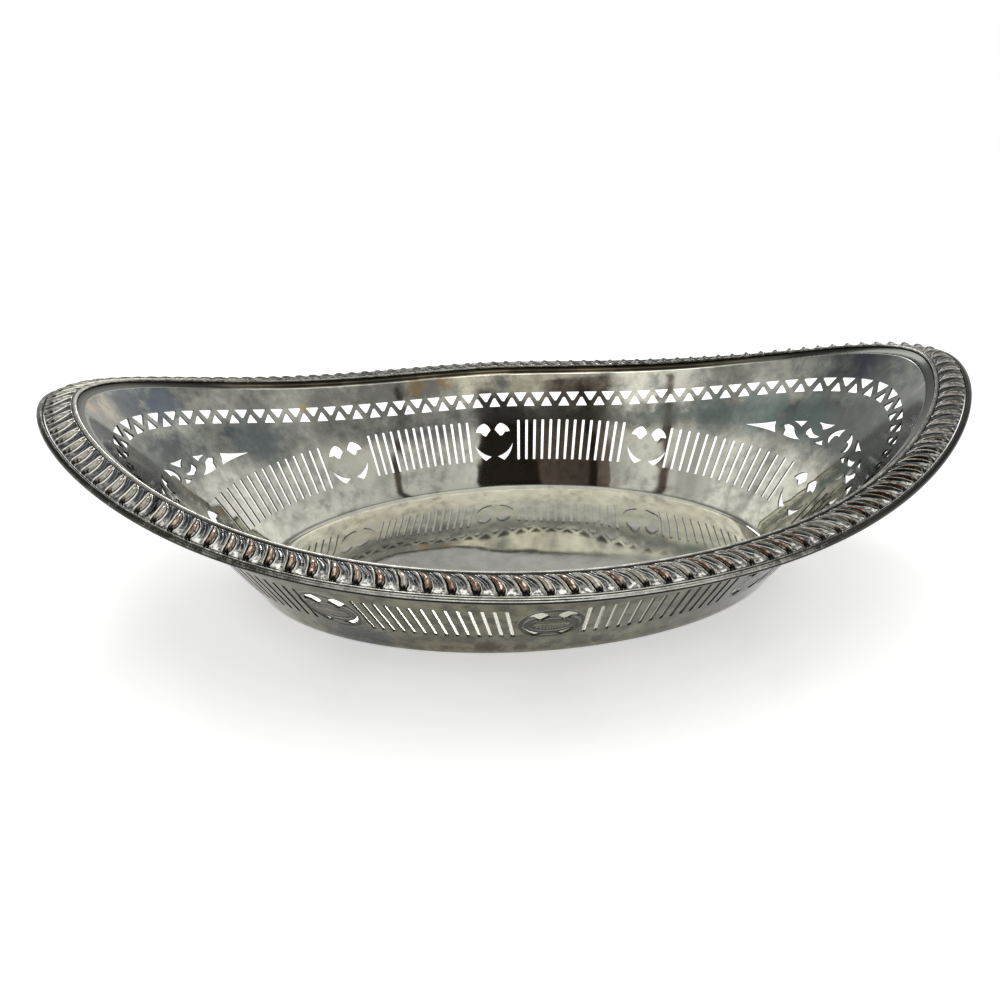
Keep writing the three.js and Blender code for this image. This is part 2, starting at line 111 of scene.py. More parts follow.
seam_panel = 1  # the wall's mesh is cut open from foot to head between two slots of this panel
seam_slots = 4.5  # from the first slot of that panel to the seam, in slots
slot_border = 1.0  # from the ends of the slots to where the mesh no longer keeps to them
wall_columns = 260
spare_columns = 10  # tried past both ends of the unrolled wall, which slant
plain_row = 3.2  # from one row of points to the next on the plain parts of the wall
hole_clearance = 0.8  # kept between those points and a pierced edge
slot_clearance = 3.0  # the same beside the slots, whose bars need no points of their own
wall_thinness = 0.75  # the thickness of the pierced wall, as a share of the floor's
medallion_reach = 1.8  # radii from a medallion's middle, past which nothing is engraved
far_off = 9.0  # a place that lies on no medallion
crease_fall = 0.05  # how far the height kept for the materials falls over the crease
border_step = 10.0  # millimetres across the border to each 1 of that height
small_turn = 1e-3  # the turn over which a line's pace or direction is measured
weld = 2e-3  # points closer than this are made one


def pull(value):
    eased = (value * value + tip_easing**2) / (1 + tip_easing**2)
    return value * eased ** (1 / rim_power - 1 / 2)


def rim_height(angle):
    return side_height + end_rise * abs(pull(math.cos(angle))) ** rise_power


def border_point(angle, inset, rise):
    """A point of the border, by its inset from the outer edge and its height over the rim line."""
    return Vector(
        (
            (half_length - inset) * pull(math.cos(angle)),
            (half_width - inset) * pull(math.sin(angle)),
            rim_height(angle) + rise,
        )
    )


def wall_foot(angle):
    return Vector((base_half_length * math.cos(angle), base_half_width * math.sin(angle), sheet))


def wall_head(angle):
    return border_point(angle, wall_top_inset, -flange_drop - band_drop - ledge_drop)


def wall_length(angle):
    return (wall_head(angle) - wall_foot(angle)).length


def wall_point(angle, slant):
    foot = wall_foot(angle)
    up = wall_head(angle) - foot
    return foot + up * (slant / up.length)


def pace_at(angle, slant):
    """How far the wall runs for each radian round it, at one height up it."""
    return (wall_point(angle + small_turn, slant) - wall_point(angle, slant)).length / small_turn


def angle_after(start, slant, distance):
    """The plan angle reached by walking a distance along the wall, at one height up it."""
    steps = 8
    angle = start
    for _ in range(steps):
        halfway = angle + distance / steps / 2 / pace_at(angle, slant)
        angle += distance / steps / pace_at(halfway, slant)
    return angle


class Round:
    """A closed line round the bowl, with the distance walked along it at each plan angle."""

    def __init__(self, point_at, steps=1440):
        self.angles = np.linspace(0, FULL_TURN, steps + 1)
        points = np.array([point_at(angle) for angle in self.angles])
        strides = np.linalg.norm(np.diff(points, axis=0), axis=1)
        self.walked = np.concatenate([[0], np.cumsum(strides)])
        self.length = self.walked[-1]

    def distance(self, angle):
        turns = math.floor(angle / FULL_TURN)
        rest = angle - turns * FULL_TURN
        return turns * self.length + float(np.interp(rest, self.angles, self.walked))

    def angle(self, distance):
        turns = math.floor(distance / self.length)
        rest = distance - turns * self.length
        return turns * FULL_TURN + float(np.interp(rest, self.walked, self.angles))


def zigzag_top(angle):
    towards_end = abs(math.cos(angle)) ** zigzag_margin_power
    margin = zigzag_margin_side + (zigzag_margin_end - zigzag_margin_side) * towards_end
    return wall_length(angle) - margin


medallion_angles = [0.0]
for quadrant in range(4):
    turned = quadrant * math.pi / 2
    across = quarter_medallion if quadrant % 2 == 0 else math.pi / 2 - quarter_medallion
    medallion_angles += [turned + across, turned + math.pi / 2]
medallion_angles.pop()
medallion_angles = [
    angle_after(angle, slot_middle, off) for angle, off in zip(medallion_angles, medallions_off)
]


def slot_band(angle):
    return wall_point(angle, slot_middle)


def zigzag_band(angle):
    return wall_point(angle, zigzag_top(angle) - zigzag_height / 2)


mid_line = Round(slot_band)
zigzag_line = Round(zigzag_band)


def wall_lean(band, angle):
    """How far a line straight up the wall leans along a band round it, as a share of its length."""
    along = (band(angle + small_turn) - band(angle - small_turn)).normalized()
    return along.dot((wall_head(angle) - wall_foot(angle)).normalized())


def zigzag_spot(distance, drop):
    """A place in the zigzag, by the distance round and down, square to it as its triangles are."""
    lean = wall_lean(zigzag_band, zigzag_line.angle(distance))
    angle = zigzag_line.angle(distance + lean * (drop - zigzag_height / 2))
    return angle, zigzag_top(angle) - drop


def eased(corners, *easings):
    """The outline of a punched hole, with each corner cut back a little as the punch leaves it."""
    most = 0.4  # of the way to the next corner
    outline = []
    for i, corner in enumerate(corners):
        for other in (corners[i - 1], corners[(i + 1) % len(corners)]):
            way = other - corner
            outline.append(corner + way * min(most, easings[i % len(easings)] / way.length))
    return outline


def curve(start, bend, end, steps=6):
    """Points along a quadratic curve, without its last."""
    points = []
    for step in range(steps):
        t = step / steps
        points.append(start * (1 - t) ** 2 + bend * (2 * t * (1 - t)) + end * t * t)
    return points


def outline_points(start, *segments):
    """An outline from a start and segments, (x, y) straight or (bend x, bend y, x, y) curved."""
    points = []
    here = Vector(start)
    for segment in segments:
        end = Vector(segment[-2:])
        if len(segment) == 2:
            points.append(here)
        else:
            points += curve(here, Vector(segment[:2]), end)
        here = end
    if (here - Vector(start)).length > 1e-6:
        points.append(here)
    return points


def laid(points, centre_angle, centre_slant, side=1, scale=1):
    """Carries an outline onto the wall, square to it, as plan angles and heights up the wall."""
    lean = wall_lean(slot_band, centre_angle)
    placed = []
    for x, y in points:
        slant = centre_slant + y * scale
        placed.append((angle_after(centre_angle, slant, (side * x - lean * y) * scale), slant))
    return placed


def panel_slots(panel):
    """Where a panel's first slot stands, how far it is to the next, and how many there are."""
    start = mid_line.distance(medallion_angles[panel])
    end = mid_line.distance((medallion_angles + [FULL_TURN])[panel + 1])
    slots = end_panel_slots if panel % 4 in (0, 3) else side_panel_slots
    gap = slot_margin + panel_gaps[panel]
    return start + gap, (end - start - gap - slot_margin) / (slots - 1), slots


def slot_shift(panel, rise):
    """How far a slot of a panel has leaned sideways after a given rise."""
    return rise * math.tan(math.radians(panel_leans[panel]))


def slot_holes():
    holes = []
    half = slot_width / 2
    for panel in range(len(medallion_angles)):
        first, pitch, slots = panel_slots(panel)
        shift = slot_shift(panel, slot_length)
        corners = [Vector((-half, 0)), Vector((half, 0))]
        corners += [Vector((shift + half, slot_length)), Vector((shift - half, slot_length))]
        for slot in range(slots):
            angle = mid_line.angle(first + slot * pitch)
            holes.append(laid(eased(corners, slot_easing), angle, slot_foot))
    return holes


def medallion_holes():
    wing = outline_points(
        (0.11, 0.57),
        (0.2, 0.84, 0.42, 0.93),
        (0.78, 0.84, 0.88, 0.47),
        (0.61, 0.45),
        (0.5, 0.24, 0.37, 0.25),
    )
    crescent = outline_points(
        (0.98, -0.15), (0.86, -0.72, 0.47, -1.03), (0.15, -0.82), (0.72, -0.68, 0.98, -0.15)
    )
    return [
        laid(shape, angle, slot_middle, side, medallion_radius)
        for angle in medallion_angles
        for shape in (wing, crescent)
        for side in (1, -1)
    ]


def zigzag_holes():
    holes = []
    rows = (
        (0.25, down_triangle_base, 0, triangle_height),
        (0.75, up_triangle_base, zigzag_height, zigzag_height - triangle_height),
    )
    for period in range(zigzag_periods):
        for share, base, base_drop, tip_drop in rows:
            middle = (period + share) / zigzag_periods * zigzag_line.length
            corners = [Vector((-base / 2, base_drop)), Vector((base / 2, base_drop))]
            corners.append(Vector((0, tip_drop)))
            outline = eased(corners, *triangle_easings)
            holes.append([zigzag_spot(middle + x, drop) for x, drop in outline])
    return holes


def scroll_holes():
    tail = outline_points(
        (46.5, 0), (40, 1.9, 34.5, 5.1), (33.3, 2.7), (31.2, 0.3), (38, 0.6, 46.5, 0)
    )
    outer_leaf = outline_points(
        (30.2, 4.5),
        (28.7, 5.4),
        (25, 5.4, 24, 3.6),
        (22, 1.6, 19, 0.9),
        (23.5, -0.4, 27.6, 0.6),
        (28.3, 2.9),
    )
    outer_tip = outline_points((28, 7.4), (25, 8, 21.8, 9.6), (22.4, 6.1), (25, 7.6, 28, 7.4))
    curl = outline_points(
        (18.5, 7.5),
        (20.4, 4, 17.1, 3.9),
        (15.6, 3, 14.4, 3.5),
        (12, 4, 11.2, 5.9),
        (13.5, 4.6, 15.5, 5.5),
        (17, 6.2, 18.5, 7.5),
    )
    inner_tip = outline_points(
        (16.8, 10.7), (12.6, 10.9, 8.6, 12.6), (10, 9.6, 12.8, 8.2), (14.4, 10.2, 16.8, 10.7)
    )
    inner_leaf = outline_points(
        (11.8, 2.6), (9.8, 3.6, 9, 5.4), (8.4, 3.4, 7.2, 2.9), (9.4, 2, 11.8, 2.6)
    )
    head = outline_points(
        (4.7, 4.5),
        (8.6, 5.6, 7.4, 8.6),
        (6.2, 11.6, 1.8, 12.7),
        (3.2, 11, 2.3, 8.7),
        (4, 9.6, 5, 8),
        (5.6, 6, 4.7, 4.5),
    )
    return [
        laid(shape, angle, slot_top + scroll_gap, side)
        for angle in (0.0, math.pi)
        for shape in (tail, outer_leaf, outer_tip, curl, inner_tip, inner_leaf, head)
        for side in (1, -1)
    ]


def seam_path():
    """A way up the unrolled wall that crosses no hole, from its foot to its head."""
    first, pitch, _ = panel_slots(seam_panel)
    foot = first + seam_slots * pitch
    foot_angle = mid_line.angle(foot)
    rise = slot_length + slot_border
    under, over = laid([(0, 0), (slot_shift(seam_panel, rise), rise)], foot_angle, slot_foot)
    period_length = zigzag_line.length / zigzag_periods
    period = round(zigzag_line.distance(foot_angle) / period_length)
    low_angle, low_height = zigzag_spot((period + 0.25) * period_length, zigzag_height)
    high_angle, high_height = zigzag_spot((period - 0.25) * period_length, 0)
    high = mid_line.distance(high_angle)
    column = mid_line.length / wall_columns
    head = foot + round((high - foot) / column) * column
    corners = [
        Vector((foot, 0)),
        Vector((mid_line.distance(under[0]), under[1])),
        Vector((mid_line.distance(over[0]), over[1])),
        Vector((mid_line.distance(low_angle), low_height)),
        Vector((high, high_height)),
        Vector((head, wall_length(mid_line.angle(head)))),
    ]
    path = []
    for start, end in zip(corners, corners[1:]):
        steps = max(1, round((end - start).length / plain_row))
        path += [start.lerp(end, step / steps) for step in range(steps)]
    return path + corners[-1:]


def seam_at(path, height):
    """How far round the bowl the seam lies at a height up the wall."""
    return np.interp(height, [point.y for point in path], [point.x for point in path])


def unrolled(holes, path):
    """Outlines on the unrolled wall, all run the same way round and lying between its two ends."""
    flat_holes = []
    for hole in holes:
        flat = [Vector((mid_line.distance(angle), slant)) for angle, slant in hole]
        middle = sum(flat, Vector((0, 0))) / len(flat)
        turns = math.floor((middle.x - seam_at(path, middle.y)) / mid_line.length)
        back = Vector((mid_line.length * turns, 0))
        area = sum(a.cross(b) for a, b in zip(flat, flat[1:] + flat[:1]))
        flat_holes.append([point - back for point in (flat if area > 0 else flat[::-1])])
    return flat_holes


def line_pieces(line):
    """The straight pieces of a line, each a row of an array with the places of its two ends."""
    return np.array([(*a, *b) for a, b in zip(line, line[1:])])


def loose_points(path, holes):
    """Points over the plain parts of the wall, clear of every hole and of the seam."""
    cuts = np.concatenate([line_pieces(hole + hole[:1]) for hole in holes])
    seam = line_pieces(path)
    turned = seam + np.array([mid_line.length, 0, mid_line.length, 0])
    lines = np.concatenate([cuts, seam, turned])
    along = lines[:, 2:] - lines[:, :2]
    spans = (along**2).sum(1)
    loose = []
    for column in range(-spare_columns, wall_columns + spare_columns):
        x = path[0].x + column * (mid_line.length / wall_columns)
        height = wall_length(mid_line.angle(x))
        rows = round(height / plain_row)
        for row in range(1, rows):
            y = height * row / rows
            left = seam_at(path, y)
            if not left < x < left + mid_line.length:
                continue
            point = np.array((x, y))
            share = np.clip(((point - lines[:, :2]) * along).sum(1) / spans, 0, 1)
            gaps = np.linalg.norm(lines[:, :2] + along * share[:, None] - point, axis=1)
            beside_slots = slot_foot - slot_border < y < slot_top + slot_border
            if beside_slots and gaps[: len(cuts)].min() < slot_clearance:
                continue
            if gaps.min() > hole_clearance:
                loose.append(Vector(point))
    return loose


def pierced_wall():
    """The wall unrolled flat, with its holes left open.

    It is given as points (distance round, height up) and faces, with the distance round at which
    the seam starts at the foot and ends at the head.
    """
    path = seam_path()
    holes = unrolled(slot_holes() + medallion_holes() + zigzag_holes() + scroll_holes(), path)
    column = mid_line.length / wall_columns
    turn = Vector((mid_line.length, 0))
    start, end = path[0].x, path[-1].x
    foot_row = [Vector((start + i * column, 0)) for i in range(1, wall_columns)]
    head_row = [
        Vector((end + i * column, wall_length(mid_line.angle(end + i * column))))
        for i in range(1, wall_columns)
    ]
    border = foot_row + [point + turn for point in path] + head_row[::-1] + path[::-1]
    points = list(border)
    faces = [list(range(len(border)))]
    for hole in holes:
        faces.append(list(range(len(points), len(points) + len(hole))))
        points += hole
    points += loose_points(path, holes)
    inside_outlines = 1
    finest = 1e-5
    made = delaunay_2d_cdt(points, [], faces, inside_outlines, finest)
    flat_points, _, flat_faces, _, _, sources = made
    wall_faces = [face for face, source in zip(flat_faces, sources) if list(source) == [0]]
    return flat_points, wall_faces, start, end


def lofted(mesh, rows, angles, heights):
    """Adds a closed ring of faces through rows of points, each row a function of the plan angle."""
    grid = bmesh.ops.create_grid(mesh, x_segments=len(angles), y_segments=len(rows) - 1, size=1)
    level = mesh.verts.layers.float.get("height")
    for vert in grid["verts"]:
        i = round((vert.co.x + 1) / 2 * len(angles))
        j = round((vert.co.y + 1) / 2 * (len(rows) - 1))
        vert.co = rows[j](angles[i % len(angles)])
        vert[level] = heights[j]


def crease_point(share):
    """A row of the rounded crease round the base, from 0 on the base to 1 on the wall."""

    def place(angle):
        foot = wall_foot(angle)
        up = (wall_head(angle) - foot).normalized()
        inward = Vector((-up.x, -up.y, 0)).normalized()
        floor_end = foot + inward * crease_radius
        wall_start = foot + up * crease_radius
        return floor_end.lerp(foot, share).lerp(foot.lerp(wall_start, share), share)

    return place


def floor_row(scale):
    def place(angle):
        edge = crease_point(0)(angle)
        return Vector((edge.x * scale, edge.y * scale, sheet))

    return place


def border_row(inset, rise):
    return lambda angle: border_point(angle, inset, rise)


def medallion_place(distance, height):
    """Where a point of the unrolled wall lies from the nearest medallion's middle, in radii."""
    across = [
        (distance - mid_line.distance(angle) + mid_line.length / 2) % mid_line.length
        - mid_line.length / 2
        for angle in medallion_angles
    ]
    nearest = min(across, key=abs) / medallion_radius
    up = (height - slot_middle) / medallion_radius
    return (nearest, up) if abs(nearest) < medallion_reach else (nearest, far_off)


def add_wall(mesh, points, faces):
    """Brings the unrolled wall back round the bowl."""
    level, urn_across, urn_up = [
        mesh.verts.layers.float.get(name) for name in ("height", "urn_across", "urn_up")
    ]
    made = {}
    for i in {i for face in faces for i in face}:
        distance, height = points[i]
        angle = mid_line.angle(distance)
        squeeze = crease_radius * max(0, 1 - height / (slot_foot - slot_border))
        vert = made[i] = mesh.verts.new(wall_point(angle, height + squeeze))
        vert[level] = height / wall_length(angle)
        vert[urn_across], vert[urn_up] = medallion_place(distance, height)
    for face in faces:
        mesh.faces.new([made[i] for i in face])


def add_floor(mesh, angles):
    """Adds the floor and the rounded crease between it and the wall."""
    turns = (1, 0.75, 0.5, 0.25, 0)
    heights = [(turn - 1) * crease_fall for turn in turns]
    lofted(mesh, [crease_point(turn) for turn in turns], angles, heights)
    scales = (1, 0.96, 0.85, 0.7, 0.5, 0.25, 0)
    heights = [scale - 1 - crease_fall for scale in scales]
    lofted(mesh, [floor_row(scale) for scale in scales], angles, heights)


def add_border(mesh, angles):
    """Adds the ledge, the sloping band and the flange, with the eased bends between them."""
    top = -flange_drop
    band_foot = top - band_drop
    head = band_foot - ledge_drop
    profile = [
        (wall_top_inset, head),
        (wall_top_inset - 0.15, head + 0.2),
        (ledge_inset + 0.12, band_foot - 0.06),
        (ledge_inset - 0.1, band_foot + 0.06),
        (flange_inner + 0.3, top - 0.3),
        (flange_inner, top),
        (flange_edge, top - flange_fall),
    ]
    heights = [1 + (wall_top_inset - inset) / border_step for inset, _ in profile]
    lofted(mesh, [border_row(inset, rise) for inset, rise in profile], angles, heights)


def bowl_surface():
    """The upper side of the whole sheet, in millimetres.

    Each point keeps its height for the materials: 0 at the foot of the wall, 1 at its head, less
    than 0 in the crease and on the floor and over 1 on the border. It also keeps its place on a
    medallion.
    """
    mesh = bmesh.new()
    for name in ("height", "urn_across", "urn_up"):
        mesh.verts.layers.float.new(name)
    points, faces, start, end = pierced_wall()
    add_wall(mesh, points, faces)
    column = mid_line.length / wall_columns
    add_floor(mesh, [mid_line.angle(start + i * column) for i in range(wall_columns)])
    add_border(mesh, [mid_line.angle(end + i * column) for i in range(wall_columns)])
    level = mesh.verts.layers.float.get("height")
    urn_up = mesh.verts.layers.float.get("urn_up")
    for vert in mesh.verts:
        if not 0 < vert[level] < 1:
            vert[urn_up] = far_off
    bmesh.ops.remove_doubles(mesh, verts=mesh.verts, dist=weld)
    bmesh.ops.recalc_face_normals(mesh, faces=mesh.faces)
    lowest = min(mesh.faces, key=lambda face: face.calc_center_median().xy.length)
    if lowest.normal.z < 0:
        bmesh.ops.reverse_faces(mesh, faces=mesh.faces)
    return mesh


def make_piece(mesh, name, materials, cad_node):
    """Turns a mesh in millimetres into a piece in metres that stands for a node of the frame."""
    bmesh.ops.scale(mesh, verts=mesh.verts, vec=(MM, MM, MM))
    data = bpy.data.meshes.new(name)
    mesh.to_mesh(data)
    mesh.free()
    data.shade_smooth()
    piece = bpy.data.objects.new(name, data)
    bpy.context.scene.collection.objects.link(piece)
    for material in materials:
        data.materials.append(material)
    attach(piece, "root")
    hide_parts(cad_node)
    return piece


def node(tree, kind, inputs=(), **settings):
    """Adds a shader node. An input given as a socket is linked, and any other is set."""
    made = tree.nodes.new(kind)
    for name, value in settings.items():
        setattr(made, name, value)
    for name, value in dict(inputs).items():
        if isinstance(value, bpy.types.NodeSocket):
            tree.links.new(value, made.inputs[name])
        else:
            made.inputs[name].default_value = value
    return made


def calc(tree, operation, *values, **settings):
    """A sum worked out in the shader, as the socket that gives its result."""
    values = dict(enumerate(values))
    return node(tree, "ShaderNodeMath", values, operation=operation, **settings).outputs[0]


def plus(tree, first, *others):
    for other in others:
        first = calc(tree, "ADD", first, other)
    return first


def times(tree, first, *others):
    for other in others:
        first = calc(tree, "MULTIPLY", first, other)
    return first


def fade(tree, value, low, high, at_low=0.0, at_high=1.0):
    """A smooth change from one value to another while the given value goes from low to high."""
    inputs = {"Value": value, "From Min": low, "From Max": high}
    inputs.update({"To Min": at_low, "To Max": at_high})
    faded = node(tree, "ShaderNodeMapRange", inputs, interpolation_type="SMOOTHSTEP")
    return faded.outputs["Result"]


def blend(tree, share, under, over):
    """One colour laid over another by a share from 0 to 1, each a socket or red, green and blue."""
    under, over = [(*given, 1) if isinstance(given, tuple) else given for given in (under, over)]
    inputs = {"Factor": share, "A": under, "B": over}
    return node(tree, "ShaderNodeMix", inputs, data_type="RGBA").outputs["Result"]


def noise(tree, place, size, detail=3.0):
    """Soft noise with features of about the given size in metres, as the socket of its value."""
    inputs = {"Vector": place, "Scale": 1 / size, "Detail": detail, "Roughness": 0.6}
    return node(tree, "ShaderNodeTexNoise", inputs).outputs["Fac"]


def attribute(tree, name):
    return node(tree, "ShaderNodeAttribute", attribute_name=name).outputs["Fac"]


def object_place(tree):
    return node(tree, "ShaderNodeTexCoord").outputs["Object"]


def axes(tree, vector):
    return node(tree, "ShaderNodeSeparateXYZ", {"Vector": vector}).outputs


def group(name, inputs, outputs):
    """A shader node group, as its tree, the sockets it is given and the sockets it puts out."""
    tree = bpy.data.node_groups.new(name, "ShaderNodeTree")
    for way, sockets in (("INPUT", inputs), ("OUTPUT", outputs)):
        for socket, kind in sockets.items():
            tree.interface.new_socket(socket, in_out=way, socket_type="NodeSocket" + kind)
    given = tree.nodes.new("NodeGroupInput").outputs
    result = tree.nodes.new("NodeGroupOutput").inputs
    return tree, given, result


def tarnish_group():
    """Cloudy tarnish: a colour between a clean and a dark one, and the roughness to go with it."""
    tree, given, result = group(
        "Tarnish",
        {"Clean": "Color", "Dark": "Color", "Cloud Scale": "Float", "Amount": "Float"},
        {"Color": "Color", "Roughness": "Float"},
    )
    place = object_place(tree)
    fine_scale = times(tree, given["Cloud Scale"], 7.0)
    broad = {"Vector": place, "Scale": given["Cloud Scale"], "Detail": 5.0, "Distortion": 0.8}
    fine = {"Vector": place, "Scale": fine_scale, "Detail": 4.0, "Roughness": 0.65}
    broad = node(tree, "ShaderNodeTexNoise", broad).outputs["Fac"]
    fine = node(tree, "ShaderNodeTexNoise", fine).outputs["Fac"]
    both = plus(tree, times(tree, broad, 0.55), times(tree, fine, 0.45))
    uneven = times(tree, plus(tree, both, -0.5), 2.0)
    cloud = calc(tree, "ADD", given["Amount"], uneven, use_clamp=True)
    tree.links.new(blend(tree, cloud, given["Clean"], given["Dark"]), result["Color"])
    tree.links.new(fade(tree, cloud, 0.0, 1.0, 0.05, 0.16), result["Roughness"])
    return tree


def stain_and_reflection_group():
    """One soft-edged patch laid over a colour: most are stains, some are painted reflections."""
    tree, given, result = group(
        "Stain And Reflection",
        {
            "Color": "Color",
            "Stain And Reflection": "Color",
            "Strength": "Float",
            "Middle": "Vector",
            "Radius": "Float",
            "Edge": "Float",
        },
        {"Color": "Color"},
    )
    inputs = {0: object_place(tree), 1: given["Middle"]}
    away = node(tree, "ShaderNodeVectorMath", inputs, operation="DISTANCE").outputs["Value"]
    reach = plus(tree, calc(tree, "DIVIDE", away, given["Radius"]), given["Edge"])
    share = fade(tree, reach, 0.3, 1.0, given["Strength"], 0.0)
    tree.links.new(blend(tree, share, given["Color"], given["Stain And Reflection"]), result["Color"])
    return tree


def dents_group():
    """Slight unevenness of hand-finished metal, broad waves with fine ones over them."""
    inputs = ("Broad Scale", "Broad Depth", "Fine Scale", "Fine Depth")
    tree, given, result = group("Dents", dict.fromkeys(inputs, "Float"), {"Normal": "Vector"})
    place = object_place(tree)
    under = {}
    for part, detail in (("Broad", 1.0), ("Fine", 2.0)):
        waves = {"Vector": place, "Scale": given[part + " Scale"], "Detail": detail}
        waves = node(tree, "ShaderNodeTexNoise", {**waves, "Roughness": 0.6}).outputs["Fac"]
        bump = {"Height": waves, "Distance": given[part + " Depth"], **under}
        under = {"Normal": node(tree, "ShaderNodeBump", bump).outputs["Normal"]}
    tree.links.new(under["Normal"], result["Normal"])
    return tree


tarnish = tarnish_group()
stain_and_reflection = stain_and_reflection_group()
dents = dents_group()


def silver(name, clean, dark, cloud_size, amount):
    """A silver material with its tarnish, ready for more to be laid over its colour."""
    material = bpy.data.materials.new(name)
    material.use_nodes = True
    tree = material.node_tree
    shader = tree.nodes["Principled BSDF"]
    shader.inputs["Metallic"].default_value = 1.0
    inputs = {
        "Clean": (*clean, 1),
        "Dark": (*dark, 1),
        "Cloud Scale": 1 / cloud_size,
        "Amount": amount,
    }
    film = node(tree, "ShaderNodeGroup", inputs, node_tree=tarnish, name="film")
    tree.links.new(film.outputs["Color"], shader.inputs["Base Color"])
    tree.links.new(film.outputs["Roughness"], shader.inputs["Roughness"])
    return material


def lay_stains_and_reflections(tree, colour, edge, stains_and_reflections):
    """Lays stains and painted reflections over a colour: each a middle and radius in millimetres, a
    colour, a share.
    """
    for middle, radius, patch_colour, strength in stains_and_reflections:
        inputs = {
            "Color": colour,
            "Stain And Reflection": (*patch_colour, 1),
            "Strength": strength,
            "Middle": Vector(middle) * MM,
            "Radius": radius * MM,
            "Edge": edge,
        }
        colour = node(tree, "ShaderNodeGroup", inputs, node_tree=stain_and_reflection).outputs["Color"]
    return colour


def finish(tree, colour, broad_size, broad_depth, fine_size, fine_depth):
    """Gives a material its colour and its dents, sized in metres, and returns their normal."""
    inputs = {
        "Broad Scale": 1 / broad_size,
        "Broad Depth": broad_depth,
        "Fine Scale": 1 / fine_size,
        "Fine Depth": fine_depth,
    }
    dented = node(tree, "ShaderNodeGroup", inputs, node_tree=dents).outputs["Normal"]
    tree.links.new(colour, tree.nodes["Principled BSDF"].inputs["Base Color"])
    tree.links.new(dented, tree.nodes["Principled BSDF"].inputs["Normal"])
    return dented


# Stains on the inside, and a bright strip under the far rim that is a painted reflection.
inside_stains_and_reflections = (
    ((80, 69, 34), 13, (0.18, 0.23, 0.22), 0.4),  # blue-green film at the back right
    ((97, 57, 37), 15, (0.15, 0.22, 0.205), 0.6),
    ((112, 40, 41), 16, (0.15, 0.22, 0.205), 0.6),
    ((125, 22, 45), 16, (0.16, 0.22, 0.205), 0.5),
    ((142, 17, 66), 9, (0.06, 0.055, 0.09), 0.7),
    ((-135, 30, 63), 16, (0.09, 0.11, 0.14), 0.85),  # slate patch at the back left
    ((-146, 4, 69), 9, (0.55, 0.50, 0.42), 0.8),  # pale spot beside it
    ((-104, 49, 40), 17, (0.11, 0.15, 0.17), 0.6),
    ((-142, 16, 67), 12, (0.09, 0.11, 0.14), 0.7),
    ((-78, 75, 42), 14, (0.20, 0.20, 0.185), 0.6),  # dull grey under the rim at the left
    ((-52, 85, 42), 15, (0.17, 0.17, 0.155), 0.75),
    ((-30, 91, 42), 13, (0.17, 0.17, 0.155), 0.75),
    ((138, -20, 48), 44, (0.13, 0.135, 0.125), 0.7),  # duller towards the front of each end
    ((-140, -18, 52), 36, (0.13, 0.135, 0.125), 0.6),
    ((-86, 69, 44), 4, (0.52, 0.42, 0.18), 0.8),  # yellow stains under the rim
    ((-35, 90, 45), 6, (0.42, 0.30, 0.13), 0.7),
    ((-20, 92, 46), 6, (0.35, 0.25, 0.11), 0.7),
    ((-149, -4, 73), 4, (0.50, 0.38, 0.26), 0.8),
    ((86, 69, 49), 15, (0.95, 0.93, 0.80), 0.9),  # painted reflection: a bright strip of mirrored light left under the far rim
    ((66, 79, 47), 17, (0.98, 0.95, 0.80), 1.0),
    ((42, 88, 46), 17, (0.98, 0.95, 0.78), 1.0),
    ((18, 92, 45), 17, (0.98, 0.94, 0.74), 1.0),
    ((-6, 93, 45), 14, (0.90, 0.86, 0.66), 0.8),
)
# Painted shade and highlights on the ledge and the sloping band. The height over which each stripe
# begins, its dark and light streaks at the back, and its colour at the front.
border_stripes = (
    (1.03, 1.05, (0.10, 0.095, 0.08), (0.45, 0.43, 0.36), (0.28, 0.28, 0.25)),
    (1.075, 1.09, (0.012, 0.011, 0.008), (0.04, 0.033, 0.02), (0.13, 0.13, 0.115)),
    (1.16, 1.18, (0.05, 0.042, 0.027), (0.16, 0.13, 0.08), (0.09, 0.09, 0.08)),
    (1.20, 1.22, (0.01, 0.009, 0.007), (0.02, 0.018, 0.012), (0.05, 0.05, 0.045)),
)


def wall_tarnish(tree, height, level, x):
    """How tarnished the wall is: most in a band below the zigzag and towards the two ends."""
    band = times(tree, fade(tree, level, 0.42, 0.6), fade(tree, level, 0.66, 0.84, 1.0, 0.35))
    ends = plus(tree, fade(tree, x, 0.095, 0.14, 0.0, 0.5), fade(tree, x, -0.14, -0.09, 0.3, 0.0))
    ends = times(tree, ends, fade(tree, level, 0.25, 0.5, 0.1, 1.0))
    ends = plus(tree, ends, fade(tree, level, 0.78, 0.92, 0.0, 0.14))
    on_wall = fade(tree, height, -0.02, 0.08)
    return times(tree, calc(tree, "MULTIPLY_ADD", band, 0.68, ends), on_wall)


def floor_colour(tree, place, height, y):
    """The floor: scuffed grey, lighter towards its edge and rubbed bright at the front."""
    scuffed = fade(tree, noise(tree, place, 0.008, 5.0), 0.3, 0.7)
    centre = blend(tree, scuffed, (0.27, 0.27, 0.245), (0.36, 0.355, 0.32))
    outer = blend(tree, scuffed, (0.42, 0.415, 0.37), (0.55, 0.54, 0.47))
    colour = blend(tree, fade(tree, height, -0.4, -0.08), centre, outer)
    rubbed = fade(tree, y, -0.045, -0.005, 0.9, 0.0)
    return blend(tree, rubbed, colour, (0.66, 0.65, 0.57))


